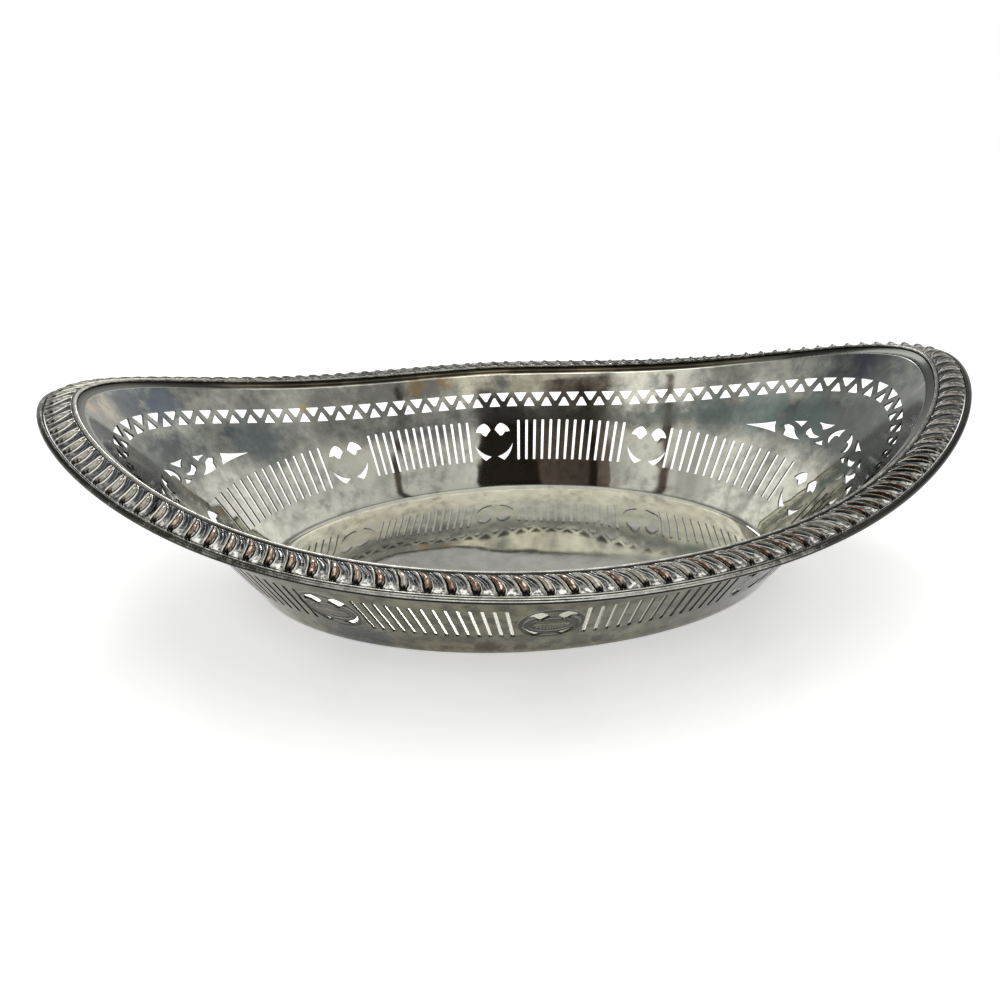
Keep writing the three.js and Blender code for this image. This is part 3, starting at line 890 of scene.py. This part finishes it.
def striped(tree, colour, place, height, x, y):
    """Lays painted shade and highlights, the dark and light stripes of the ledge and the sloping
    band, over a colour.
    """
    streaks = fade(tree, noise(tree, place, 0.03, 4.0), 0.42, 0.66)
    far_side = fade(tree, y, 0.03, 0.075)
    for low, high, dark, light, near in border_stripes:
        stripe = blend(tree, far_side, near, blend(tree, streaks, dark, light))
        colour = blend(tree, fade(tree, height, low, high), colour, stripe)
    # Painted shade: the border is darkened at the right end.
    right_end = times(tree, fade(tree, x, 0.09, 0.14), fade(tree, height, 1.0, 1.05), 0.88)
    return blend(tree, right_end, colour, (0.022, 0.024, 0.02))


def inside_material():
    """Bright silver, dull and blue in a band below the zigzag, dark towards the two ends."""
    material = silver(
        "silver_inside",
        clean=(0.67, 0.655, 0.555),
        dark=(0.10, 0.112, 0.108),
        cloud_size=0.03,
        amount=0.3,
    )
    tree = material.node_tree
    place = object_place(tree)
    x, y, _ = axes(tree, place)
    height = attribute(tree, "height")
    ragged = calc(tree, "MULTIPLY_ADD", noise(tree, place, 0.03), 0.3, -0.15)
    tarnished = wall_tarnish(tree, height, plus(tree, height, ragged), x)
    film = tree.nodes["film"]
    tree.links.new(tarnished, film.inputs["Amount"])
    on_floor = fade(tree, height, -0.07, -0.045, 1.0, 0.0)
    front_floor = times(tree, on_floor, fade(tree, y, -0.035, 0.005, 1.0, 0.0))
    roughness = calc(tree, "MULTIPLY_ADD", front_floor, 0.2, film.outputs["Roughness"])
    tree.links.new(roughness, tree.nodes["Principled BSDF"].inputs["Roughness"])

    edge = calc(tree, "MULTIPLY_ADD", noise(tree, place, 0.007, 5.0), 2.0, -1.0)
    colour = lay_stains_and_reflections(tree, film.outputs["Color"], edge, inside_stains_and_reflections)
    patches = fade(tree, noise(tree, place, 0.03, 2.0), 0.35, 0.6, 0.1, 0.5)
    mottle = times(tree, fade(tree, noise(tree, place, 0.0045, 6.0), 0.42, 0.68), patches)
    colour = blend(tree, mottle, colour, (0.17, 0.175, 0.16))
    colour = blend(tree, on_floor, colour, floor_colour(tree, place, height, y))
    # Painted shade: a darker line along the crease between the floor and the wall.
    past_floor = fade(tree, height, -0.05, -0.035)
    crease = times(tree, past_floor, fade(tree, height, -0.01, 0.01, 1.0, 0.0), 0.7)
    colour = blend(tree, crease, colour, (0.16, 0.16, 0.14))
    colour = striped(tree, colour, place, height, x, y)
    finish(
        tree,
        colour,
        broad_size=0.06,
        broad_depth=0.0014,
        fine_size=0.012,
        fine_depth=0.00002,
    )
    return material


outside_stains = (
    ((-21, -66, 6), 5, (0.06, 0.042, 0.02), 0.95),  # brown spots low on the front
    ((-11, -67, 5), 3, (0.07, 0.05, 0.025), 0.9),
    ((15, -68, 7), 4, (0.05, 0.036, 0.018), 0.95),
    ((-62, -50, 8), 19, (0.045, 0.052, 0.055), 0.9),  # slate patch at the front left
    ((72, -55, 18), 42, (0.07, 0.07, 0.058), 0.75),  # duller towards the front right
)


def urn_cuts(tree):
    """What is engraved on a medallion: an oval line round an urn with a fluted bowl and a lid."""
    across = attribute(tree, "urn_across")
    up = attribute(tree, "urn_up")

    def oval(half_across, half_up, middle=0.0):
        """How far a point lies from the middle of an oval, 1 on its line."""
        x = calc(tree, "DIVIDE", across, half_across)
        y = calc(tree, "DIVIDE", plus(tree, up, -middle), half_up)
        return calc(tree, "SQRT", calc(tree, "MULTIPLY_ADD", x, x, times(tree, y, y)))

    def line(value, at, width):
        away = calc(tree, "ABSOLUTE", plus(tree, value, -at))
        return fade(tree, away, width * 0.4, width, 1.0, 0.0)

    bowl_part = oval(0.70, 0.40, -0.06)
    within = fade(tree, bowl_part, 0.95, 1.02, 1.0, 0.0)
    fan = calc(tree, "ARCTAN2", across, plus(tree, up, 1.5))
    flutes = fade(tree, calc(tree, "SINE", times(tree, fan, 75.0)), -0.2, 0.5)
    flutes = times(tree, flutes, fade(tree, up, -0.14, -0.08, 1.0, 0.0), within)
    shaded = times(tree, within, fade(tree, up, 0.02, 0.06), 0.6)
    folds = fade(tree, calc(tree, "SINE", times(tree, up, 40.0)), 0.0, 0.6)
    neck = fade(tree, calc(tree, "ABSOLUTE", across), 0.2, 0.26, 1.0, 0.0)
    lid = times(tree, neck, 0.8, folds, line(up, 0.58, 0.4))
    cuts = line(oval(0.86, 0.62, -0.06), 1.0, 0.17)
    for more in (line(bowl_part, 1.0, 0.2), line(oval(1.05, 1.05), 1.0, 0.1), flutes, shaded, lid):
        cuts = calc(tree, "MAXIMUM", cuts, more)
    return cuts


def outside_material():
    """Dull olive silver, darkened partly as tarnish and partly as painted shade for the shadowed
    table that it mirrors, with brown spots, and an urn engraved on each medallion.
    """
    material = silver(
        "silver_outside",
        # Painted shade: the clean colour is darkened to olive for the shadowed table that the
        # outside mirrors.
        clean=(0.20, 0.187, 0.118),
        dark=(0.038, 0.038, 0.028),
        cloud_size=0.05,
        amount=0.25,
    )
    tree = material.node_tree
    place = object_place(tree)
    film = tree.nodes["film"]
    tarnished = fade(tree, attribute(tree, "height"), 0.55, 1.0, 0.15, 0.65)
    tree.links.new(tarnished, film.inputs["Amount"])
    mottle = fade(tree, noise(tree, place, 0.005, 6.0), 0.4, 0.62, 0.0, 0.85)
    colour = blend(tree, mottle, film.outputs["Color"], (0.062, 0.058, 0.036))
    streaks = fade(tree, noise(tree, place, 0.014, 5.0), 0.5, 0.7, 0.0, 0.6)
    colour = blend(tree, streaks, colour, (0.29, 0.275, 0.19))
    edge = calc(tree, "MULTIPLY_ADD", noise(tree, place, 0.003, 5.0), 2.2, -1.1)
    colour = lay_stains_and_reflections(tree, colour, edge, outside_stains)
    cuts = urn_cuts(tree)
    colour = blend(tree, times(tree, cuts, 0.9), colour, (0.02, 0.02, 0.018))
    dented = finish(
        tree,
        colour,
        broad_size=0.05,
        broad_depth=0.0012,
        fine_size=0.004,
        fine_depth=0.00004,
    )
    engraved = {"Height": cuts, "Distance": -0.0002, "Normal": dented}
    engraved = node(tree, "ShaderNodeBump", engraved).outputs["Normal"]
    tree.links.new(engraved, tree.nodes["Principled BSDF"].inputs["Normal"])
    return material


cut_silver = silver(
    "silver_cut_edge",
    clean=(0.20, 0.195, 0.16),
    dark=(0.02, 0.02, 0.018),
    cloud_size=0.01,
    amount=0.7,
)

bowl = make_piece(
    bowl_surface(),
    "pierced_sheet",
    [inside_material(), outside_material(), cut_silver],
    "pierced_bowl",
)
thinning = 0.1  # of the wall's height, over which it thins from its foot and from its head
sharp_angle = math.radians(40)
full_thickness = bowl.vertex_groups.new(name="full_thickness")
for vert, height in zip(bowl.data.vertices, bowl.data.attributes["height"].data):
    nearest_end = min(abs(height.value), abs(1 - height.value))
    share = 1 - nearest_end / thinning if 0 < height.value < 1 else 1
    full_thickness.add([vert.index], max(0, share), "REPLACE")
wall = bowl.modifiers.new("sheet_thickness", "SOLIDIFY")
wall.thickness = sheet * MM
wall.offset = -1
wall.use_even_offset = True
wall.vertex_group = full_thickness.name
wall.thickness_vertex_group = wall_thinness
wall.material_offset = 1
wall.material_offset_rim = 2
thick = bpy.data.meshes.new_from_object(bowl.evaluated_get(bpy.context.evaluated_depsgraph_get()))
thick.set_sharp_from_angle(angle=sharp_angle)
bowl.modifiers.clear()
bowl.vertex_groups.clear()
bowl.data = thick

# Edge wire.
# A drawn silver wire, soldered round the outside of the flange. A fine groove runs along its top,
# and it is painted brighter at the front than at the ends, towards the back and to the right.
ring_columns = 420


def closed_ring(section):
    """A closed ring round the border, its section given as insets and heights over the rim line."""
    mesh = bmesh.new()
    mesh.verts.layers.float.new("height")
    angles = [FULL_TURN * column / ring_columns for column in range(ring_columns)]
    shares = [step / len(section) for step in range(len(section) + 1)]
    lofted(mesh, [border_row(*point) for point in section + section[:1]], angles, shares)
    bmesh.ops.remove_doubles(mesh, verts=mesh.verts, dist=weld)
    bmesh.ops.recalc_face_normals(mesh, faces=mesh.faces)
    return mesh


def flange_rise(inset):
    return -flange_drop - flange_fall * (flange_inner - inset) / (flange_inner - flange_edge)


wire_radius = edge_wire_width / 2
wire_steps = 20
groove_step = 6
wire_groove = 0.22
wire_section = []
for step in range(wire_steps):
    turn = FULL_TURN * step / wire_steps
    reach = wire_radius - (wire_groove if step == groove_step else 0)
    wire_section.append(
        (wire_radius + reach * math.cos(turn), flange_rise(flange_edge) + reach * math.sin(turn))
    )


def wire_material(name, dirt_and_shade_lines, at_ends):
    """Bright wire, dull at the ends, with dark lines along given shares of the way round its
    section: dirt in a groove, and painted shade.
    """
    material = silver(
        name,
        clean=(0.76, 0.75, 0.67),
        dark=(0.04, 0.04, 0.034),
        cloud_size=0.004,
        amount=0.3,
    )
    tree = material.node_tree
    x, y, _ = axes(tree, object_place(tree))
    from_middle = calc(tree, "ABSOLUTE", x)
    ends = fade(tree, from_middle, 0.02, 0.12, 0.38, at_ends)
    back = fade(tree, y, -0.02, 0.06, 0.0, 0.3)
    right = fade(tree, x, 0.01, 0.07, 0.0, 0.25)
    film = tree.nodes["film"]
    tree.links.new(plus(tree, ends, back, right), film.inputs["Amount"])
    colour = film.outputs["Color"]
    height = attribute(tree, "height")
    less_at_ends = fade(tree, from_middle, 0.09, 0.13, 1.0, 0.6)
    for low, high in dirt_and_shade_lines:
        line = fade(tree, height, low - 0.03, low)
        line = times(tree, line, fade(tree, height, high, high + 0.06, 1.0, 0.0), less_at_ends)
        colour = blend(tree, line, colour, (0.015, 0.015, 0.013))
    finish(
        tree,
        colour,
        broad_size=0.006,
        broad_depth=0.00012,
        fine_size=0.001,
        fine_depth=0.00003,
    )
    return material


# Dirt in the groove along its top, and painted shade on its underside.
edge_silver = wire_material("silver_edge_wire", [(0.28, 0.31), (0.5, 0.85)], 1.05)
make_piece(closed_ring(wire_section), "edge_wire", [edge_silver], "outer_edge_wire")

# Bead wire.
# A thinner silver wire, drawn as a round bead with a fine line beside it. It is soldered on the
# flange, where it hides the inner edge of the gadroons.
bead_inner = bead_outer + bead_width


def arc(middle, rise, radius, start, end, steps):
    """Points of a section on an arc, from one angle to another in degrees."""
    turns = [math.radians(start + (end - start) * step / steps) for step in range(steps + 1)]
    return [(middle - radius * math.cos(turn), rise + radius * math.sin(turn)) for turn in turns]


bead_section = (
    [(bead_outer, flange_rise(bead_outer) + seam)]
    + arc(bead_outer + 0.25, 0.45, 0.25, 0, 140, 4)
    + arc(bead_inner - 0.45, 0.65, 0.45, 30, 180, 6)
    + [(bead_inner, flange_rise(bead_inner) + seam)]
)
# Painted shade: the fine line on the outer side of the bead is darkened.
bead_silver = wire_material("silver_bead_wire", [(0.0, 0.38)], 0.4)
make_piece(closed_ring(bead_section), "bead_wire", [bead_silver], "inner_bead_wire")

# Gadroons.
# Four lengths of thin struck silver, filled with solder and fitted end to end on the flange. Each
# lobe is a long belly between two ridges, with a hollow flute before the next.
gadroon_count = 132
end_gadroons = 26
gadroon_lean = 0.8
lean_power = 2.2
mount_inner_height = 0.7
mount_outer_drop = 0.45
mount_crown = 0.5
joint_gap = 0.3

belly_height = 1.25
belly_half = 0.165  # half its width, as a share of a lobe
belly_tip = 0.02  # the same where it starts and ends
belly_start = 0.12  # shares of the way across the mount, from its inner edge
belly_full = 0.5
belly_close = 0.74
belly_end = 0.96
ridge_height = 0.6
groove_depth = 0.35
flute_depth = 0.45

mount_rows = (0, 0.05, 0.1, 0.16, 0.24, 0.33, 0.42, 0.53, 0.63, 0.72, 0.8, 0.87, 0.92, 0.96, 1)
crest_line = Round(lambda angle: border_point(angle, flange_edge + mount_width / 3, 0))


def plain_mount(across):
    """Heights over the rim line across the mount, from its inner edge, 0, to its outer, 1."""
    edge = mount_inner_height - (mount_inner_height + mount_outer_drop) * across
    return edge + mount_crown * math.sin(math.pi * across)


def lobe_profile(across):
    """One lobe at one place across the mount: (lobes from its middle, height, wear and highlight,
    hollow, painted shade).

    The belly lies between two ridges, a broad one on its left and a fine one on its right. The
    ridges run on from edge to edge of the mount, and the belly closes before both.
    """
    opening = min(1, max(0, (across - belly_start) / (belly_full - belly_start)))
    closing = min(1, max(0, (across - belly_close) / (belly_end - belly_close)))
    fullness = math.sqrt(opening) * math.sqrt(1 - closing * closing)
    half = belly_tip + (belly_half - belly_tip) * fullness
    spread = 0.05 + (belly_half - 0.04) * math.sqrt(opening) * (1 - 0.45 * closing**3)
    presence = min(1, 0.15 + across / 0.15) * min(1, (1.02 - across) / 0.06)
    belly = belly_height * fullness**0.7 * min(1, across / 0.2)
    ridge = ridge_height * presence
    groove = -groove_depth * presence
    flute = -flute_depth * presence * math.sin(math.pi * min(1, across * 0.85 + 0.15))
    wear_and_highlight = min(1, fullness * 1.4)
    # Painted shade: black at the closing end of the belly.
    tip = closing**3 if across < 1 else 0
    left = [
        (-0.5, flute, 0, 1, 0),
        (-(spread + 0.2), flute * 0.8, 0, 0.9, 0),
        (-(spread + 0.155), ridge * 0.1, 0, 0.5, 0),
        (-(spread + 0.12), ridge * 0.9, 0, 0, 0),
        (-(spread + 0.075), ridge, 0, 0, 0),
        (-(spread + 0.045), ridge * 0.3, 0, 0, 0.5),
        (-(spread + 0.015), groove, 0, 0, 1),
    ]
    # Each point across the belly: its side, share of the half width, height, wear with painted
    # highlight, and painted shade.
    belly_part = [
        (side * half * share, belly * height, wear_and_highlight * crest_wear_and_highlight, 0, max(tip, painted_shade))
        for side, share, height, crest_wear_and_highlight, painted_shade in (
            (-1, 1, 0.05, 0.1, 0.9),
            (-1, 0.8, 0.58, 0.45, 0.1),
            (-1, 0.4, 0.92, 0.95, 0),
            (1, 0, 1, 1, 0),
            (1, 0.4, 0.92, 0.75, 0),
            (1, 0.8, 0.58, 0.35, 0.2),
            (1, 1, 0.05, 0.1, 0.9),
        )
    ]
    right = [
        (spread + 0.015, groove * 0.8, 0, 0, 1),
        (spread + 0.045, ridge * 0.75, 0, 0, 0),
        (spread + 0.075, ridge * 0.05, 0, 0.5, 0.3),
        (spread + 0.13, flute * 0.7, 0, 1, 0),
        (0.5, flute, 0, 1, 0),
    ]
    return left + belly_part + right


def mount_mesh(first_lobe, lobes):
    """A length of the mount in millimetres, with what its material needs kept at each point."""
    mesh = bmesh.new()
    wear_and_highlight = mesh.verts.layers.float.new("wear_and_highlight")
    hollow = mesh.verts.layers.float.new("hollow")
    painted_shade = mesh.verts.layers.float.new("painted_shade")
    lobe_number = mesh.verts.layers.float.new("lobe")
    way_across = mesh.verts.layers.float.new("across")
    profiles = [lobe_profile(across) for across in mount_rows]
    lobe_columns = len(profiles[0]) - 1
    columns = lobes * lobe_columns
    last_row = len(mount_rows) + 1
    gap = joint_gap / crest_line.length
    grid = bmesh.ops.create_grid(mesh, x_segments=columns, y_segments=last_row, size=1)
    feet = {0: set(), last_row: set()}
    for vert in grid["verts"]:
        column = round((vert.co.x + 1) / 2 * columns)
        row = round((vert.co.y + 1) / 2 * last_row)
        level = min(max(row - 1, 0), len(mount_rows) - 1)
        across = mount_rows[level]
        inset = mount_inner - mount_width * across
        lobe, step = divmod(column, lobe_columns)
        offset, height, vert[wear_and_highlight], vert[hollow], vert[painted_shade] = profiles[level][step]
        upright = first_lobe + lobe + 0.5 + offset
        along = upright - gadroon_lean * (1 - across) ** lean_power
        share = along / gadroon_count + gap * (0.5 - column / columns)
        rise = plain_mount(across) + height
        vert[lobe_number] = upright
        vert[way_across] = across
        if row in feet:
            rise = flange_rise(inset) + seam
            feet[row].add(vert)
        vert.co = border_point(crest_line.angle(share * crest_line.length), inset, rise)
    foot_edges = [
        edge for edge in mesh.edges if any(set(edge.verts) <= foot for foot in feet.values())
    ]
    bmesh.ops.bridge_loops(mesh, edges=foot_edges)
    bmesh.ops.holes_fill(mesh, edges=[edge for edge in mesh.edges if edge.is_boundary])
    bmesh.ops.recalc_face_normals(mesh, faces=mesh.faces)
    return mesh


ridge_scratches = 13  # dark lines to each lobe
flute_lines = 6  # bright lines to each lobe


def worn_copper_and_highlight(tree, wear_and_highlight, x):
    """Copper where the plate has worn off: redder towards the left, darker to the sides of each
    belly, partly as painted shade, and with a painted highlight along its crest.
    """
    leftward = fade(tree, x, -0.03, 0.06, 1.0, 0.25)
    crest = blend(tree, leftward, (0.07, 0.034, 0.028), (0.23, 0.14, 0.088))
    # Darker towards the sides of each belly: oxide and painted shade.
    colour = blend(tree, fade(tree, wear_and_highlight, 0.4, 0.8), (0.055, 0.035, 0.028), crest)
    brightness = calc(tree, "MULTIPLY_ADD", leftward, 0.75, 0.05)
    # Painted highlight along the crest, brighter towards the left.
    crest_highlight = times(tree, fade(tree, wear_and_highlight, 0.85, 1.1), brightness)
    return blend(tree, crest_highlight, colour, (0.90, 0.80, 0.66))


def flute_colour(tree, place, wavering, across, from_middle, at_ends):
    """Oxide in the flutes, with fine bright lines and a speckled silver tongue further out."""
    speckle = fade(tree, noise(tree, place, 0.0012, 2.0), 0.44, 0.54)
    tongue = times(tree, fade(tree, across, 0.5, 0.88), 0.95)
    tongue = times(tree, tongue, calc(tree, "MULTIPLY_ADD", speckle, 0.8, 0.2))
    tongue = times(tree, tongue, calc(tree, "MULTIPLY_ADD", at_ends, -0.7, 1.0))
    colour = blend(tree, tongue, (0.03, 0.034, 0.036), (0.62, 0.61, 0.56))
    lines = fade(tree, calc(tree, "SINE", times(tree, wavering, FULL_TURN * flute_lines)), 0.6, 1.0)
    lines = times(tree, lines, fade(tree, across, 0.5, 0.8, 0.8, 0.1))
    lines = times(tree, lines, fade(tree, from_middle, 0.08, 0.12, 1.0, 0.2))
    return blend(tree, lines, colour, (0.60, 0.60, 0.56))


def gadroon_material():
    """Worn silver plate: copper on the bellies, mostly at the front, with a painted highlight on
    each crest, oxide in the flutes, and black painted shade in the grooves and at the ends of the
    bellies.
    """
    material = silver(
        "silver_gadroon",
        clean=(0.58, 0.56, 0.49),
        dark=(0.085, 0.083, 0.07),
        cloud_size=0.008,
        amount=0.3,
    )
    tree = material.node_tree
    place = object_place(tree)
    x, y, _ = axes(tree, place)
    from_middle = calc(tree, "ABSOLUTE", x)
    at_ends = fade(tree, from_middle, 0.09, 0.14)
    belly = attribute(tree, "wear_and_highlight")
    hollow = attribute(tree, "hollow")
    raised = calc(tree, "SUBTRACT", calc(tree, "SUBTRACT", 1.0, hollow), belly)

    film = tree.nodes["film"]
    ends = fade(tree, from_middle, 0.04, 0.14, 0.2, 0.25)
    back = fade(tree, y, -0.03, 0.05, 0.0, 0.5)
    right = fade(tree, x, -0.01, 0.07, 0.0, 0.35)
    # Painted highlight: at the two ends the ridges are kept clear of tarnish.
    ridges = times(tree, fade(tree, raised, 0.4, 0.8), at_ends)
    tarnished = calc(tree, "MULTIPLY_ADD", ridges, -0.6, plus(tree, ends, back, right))
    tree.links.new(tarnished, film.inputs["Amount"])

    lobe = attribute(tree, "lobe")
    number = calc(tree, "FLOOR", lobe)
    chance = node(tree, "ShaderNodeTexWhiteNoise", {"W": number}, noise_dimensions="1D")
    this_lobe = fade(tree, chance.outputs["Value"], 0.05, 0.4, 0.3, 1.0)
    front = fade(tree, y, -0.08, -0.045, 1.0, 0.05)
    uneven = calc(tree, "MULTIPLY_ADD", noise(tree, place, 0.0014, 3.0), 1.8, -0.95)
    wear_and_highlight = plus(tree, belly, uneven)
    bare = times(tree, front, this_lobe, fade(tree, wear_and_highlight, 0.15, 0.45))
    colour = blend(tree, bare, film.outputs["Color"], worn_copper_and_highlight(tree, wear_and_highlight, x))
    # Painted shade: at the two ends the bellies are darkened.
    dull = times(tree, at_ends, fade(tree, wear_and_highlight, 0.2, 0.6), fade(tree, x, -0.1, 0.1, 0.5, 0.75))
    colour = blend(tree, dull, colour, (0.06, 0.062, 0.055))

    wavering = calc(tree, "MULTIPLY_ADD", noise(tree, place, 0.003), 0.25, lobe)
    scratches = calc(tree, "SINE", times(tree, wavering, FULL_TURN * ridge_scratches))
    scratches = times(tree, fade(tree, scratches, -0.2, 0.6), fade(tree, raised, 0.6, 0.9))
    scratches = times(tree, scratches, fade(tree, x, -0.05, 0.03, 0.15, 0.7))
    colour = blend(tree, scratches, colour, (0.045, 0.045, 0.04))
    across = attribute(tree, "across")
    oxide = flute_colour(tree, place, wavering, across, from_middle, at_ends)
    colour = blend(tree, fade(tree, hollow, 0.2, 0.7), colour, oxide)
    # Painted shade: black in the grooves and round the ends of the bellies.
    painted_shade = fade(tree, attribute(tree, "painted_shade"), 0.2, 0.7)
    colour = blend(tree, painted_shade, colour, (0.012, 0.012, 0.012))
    finish(
        tree,
        colour,
        broad_size=0.004,
        broad_depth=0.0001,
        fine_size=0.0008,
        fine_depth=0.00003,
    )
    return material


gadroon_silver = gadroon_material()

side_gadroons = gadroon_count // 2 - end_gadroons
mounts = (
    ("right_end", -end_gadroons // 2, end_gadroons),
    ("back", end_gadroons // 2, side_gadroons),
    ("left_end", end_gadroons // 2 + side_gadroons, end_gadroons),
    ("front", end_gadroons // 2 + side_gadroons + end_gadroons, side_gadroons),
)
for place_name, first_lobe, lobes in mounts:
    make_piece(
        mount_mesh(first_lobe, lobes),
        "gadroon_mount_" + place_name,
        [gadroon_silver],
        "gadroon_" + place_name,
    )

# Fillings.
# Soft solder, run into the hollow back of each gadroon length before it was laid on the flange. It
# backs the thin silver and holds it down, and shows nowhere.
solder = bpy.data.materials.new("solder")
solder.use_nodes = True
tree = solder.node_tree
shader = tree.nodes["Principled BSDF"]
shader.inputs["Metallic"].default_value = 1.0
grain = noise(tree, object_place(tree), 0.0025)
grey = blend(tree, grain, (0.20, 0.20, 0.21), (0.34, 0.34, 0.35))
tree.links.new(grey, shader.inputs["Base Color"])
tree.links.new(fade(tree, grain, 0.0, 1.0, 0.45, 0.7), shader.inputs["Roughness"])
for place_name, _, _ in mounts:
    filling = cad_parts["filling_" + place_name]
    filling.data.materials.clear()
    filling.data.materials.append(solder)

# Floor and light.
# A white table under a plain white studio, with a broad soft light overhead and a small one behind.
# The polished wall mirrors the dark uprights that stand round the studio in front of the bowl.
floor_size = 8
bpy.ops.mesh.primitive_plane_add(size=floor_size, location=(0, 0, 0))
floor = bpy.context.object
floor.name = "floor"
white = bpy.data.materials.new("white_floor")
white.use_nodes = True
tree = white.node_tree
shader = tree.nodes["Principled BSDF"]
shader.inputs["Base Color"].default_value = (0.85, 0.85, 0.85, 1)
shader.inputs["Roughness"].default_value = 0.9
shader.inputs["Specular IOR Level"].default_value = 0.0
rays = node(tree, "ShaderNodeLightPath").outputs
seen = calc(tree, "MAXIMUM", rays["Is Camera Ray"], rays["Is Glossy Ray"])
seen = calc(tree, "MAXIMUM", seen, rays["Is Transmission Ray"])
shader.inputs["Emission Color"].default_value = (1, 1, 1, 1)
own_light = 0.5  # added only where the floor is seen, by the camera or mirrored in the silver
tree.links.new(times(tree, seen, own_light), shader.inputs["Emission Strength"])
floor.data.materials.append(white)

world = bpy.data.worlds.new("studio")
bpy.context.scene.world = world
world.use_nodes = True
tree = world.node_tree
background = tree.nodes["Background"]
rays = node(tree, "ShaderNodeLightPath").outputs
direction = node(tree, "ShaderNodeTexCoord").outputs["Generated"]
to_right, to_back, height = axes(tree, direction)
# The light that the silver mirrors from each direction, dimmer overhead and uneven as in a room.
room = fade(tree, height, 0.2, 0.9, 1.0, 0.6)
stretched = node(tree, "ShaderNodeVectorMath", {0: direction, 1: (1, 1, 0.3)}, operation="MULTIPLY")
patches = {"Vector": stretched.outputs[0], "Scale": 3.2, "Detail": 2.0}
patches = node(tree, "ShaderNodeTexNoise", patches).outputs["Fac"]
room = times(tree, room, fade(tree, patches, 0.4, 0.6, 0.65, 1.15))
bearing = calc(tree, "ARCTAN2", to_right, times(tree, to_back, -1))
# The bearing of each upright's middle, half its width and the softness of its sides, in degrees
# from straight in front towards the right, and the share of the light that is left there.
uprights = (
    (38.5, 1.2, 0.4, 0.1),
    (5, 10.3, 0.5, 0.03),
    (-11.5, 6.6, 0.5, 0.18),
    (-19.5, 1.7, 0.4, 0.04),
    (-24.3, 3.4, 0.4, 0.3),
    (-47, 2, 0.8, 0.15),
)
uprights_top = 0.76
above_uprights = fade(tree, height, uprights_top - 0.003, uprights_top + 0.003)
for middle, half_across, softness, light_left in uprights:
    away = calc(tree, "ABSOLUTE", plus(tree, bearing, -math.radians(middle)))
    near = math.radians(half_across - softness)
    far = math.radians(half_across + softness)
    passed = calc(tree, "MAXIMUM", above_uprights, fade(tree, away, near, far, light_left, 1.0))
    room = times(tree, room, passed)
room = times(tree, room, fade(tree, bearing, math.radians(16), math.radians(22), 1.0, 0.8))
# Plain white low down all round, and higher up behind the bowl.
behind = fade(tree, to_back, 0.1, 0.4, 0.0, 0.3)
backdrop = fade(tree, calc(tree, "SUBTRACT", height, behind), 0.15, 0.3, 1.0, 0.0)
room = node(tree, "ShaderNodeMix", {"Factor": backdrop, "A": room, "B": 1.0}).outputs["Result"]
# The camera sees plain white. Where little light is left, on the uprights, it is brown.
strength = {"Factor": rays["Is Camera Ray"], "A": room, "B": 1.0}
strength = node(tree, "ShaderNodeMix", strength).outputs["Result"]
shade = blend(tree, fade(tree, strength, 0.05, 0.5), (1.0, 0.80, 0.72), (1.0, 1.0, 1.0))
tree.links.new(shade, background.inputs["Color"])
tree.links.new(strength, background.inputs["Strength"])


def soft_light(name, place, aim, size, power):
    lamp = bpy.data.lights.new(name, "AREA")
    lamp.shape = "DISK"
    lamp.size = size
    lamp.energy = power
    light = bpy.data.objects.new(name, lamp)
    bpy.context.scene.collection.objects.link(light)
    light.location = place
    light.rotation_euler = (Vector(aim) - Vector(place)).to_track_quat("-Z", "Y").to_euler()
    light.visible_camera = False


soft_light("overhead", (0.15, 0.1, 1.2), (0, 0, 0.03), 1.6, 7)
soft_light("window", (-0.1, 0.9, 0.75), (0, 0, 0.05), 0.3, 2)

# Camera.
# Hand-held in front of the bowl, a little to its left, looking down into it. Its place, tilt and
# focal length were solved from the rim, the base and the pierced bands. Angles are in radians.
photo_size = 1000
focal_pixels = 841.7
centre_x = 485.4
centre_y = 509.1
azimuth = 0.118
elevation = 0.447
roll = -0.015
distance = 0.3258
target = Vector((-0.01362, 0, 0.0224))

forward = Vector(
    (
        math.sin(azimuth) * math.cos(elevation),
        math.cos(azimuth) * math.cos(elevation),
        -math.sin(elevation),
    )
)
level_right = forward.cross(Vector((0, 0, 1))).normalized()
level_up = level_right.cross(forward)
right = level_right * math.cos(roll) + level_up * math.sin(roll)
up = level_up * math.cos(roll) - level_right * math.sin(roll)
lens = bpy.data.cameras.new("camera")
lens.sensor_width = 36
lens.lens = focal_pixels / photo_size * lens.sensor_width
lens.shift_x = (photo_size / 2 - centre_x) / photo_size
lens.shift_y = (centre_y - photo_size / 2) / photo_size
lens.clip_start = 0.01
camera = bpy.data.objects.new("camera", lens)
bpy.context.scene.collection.objects.link(camera)
turned = Matrix((right, up, -forward)).transposed()
camera.matrix_world = Matrix.Translation(target - forward * distance) @ turned.to_4x4()
bpy.context.scene.camera = camera
bpy.context.scene.view_settings.view_transform = "Standard"
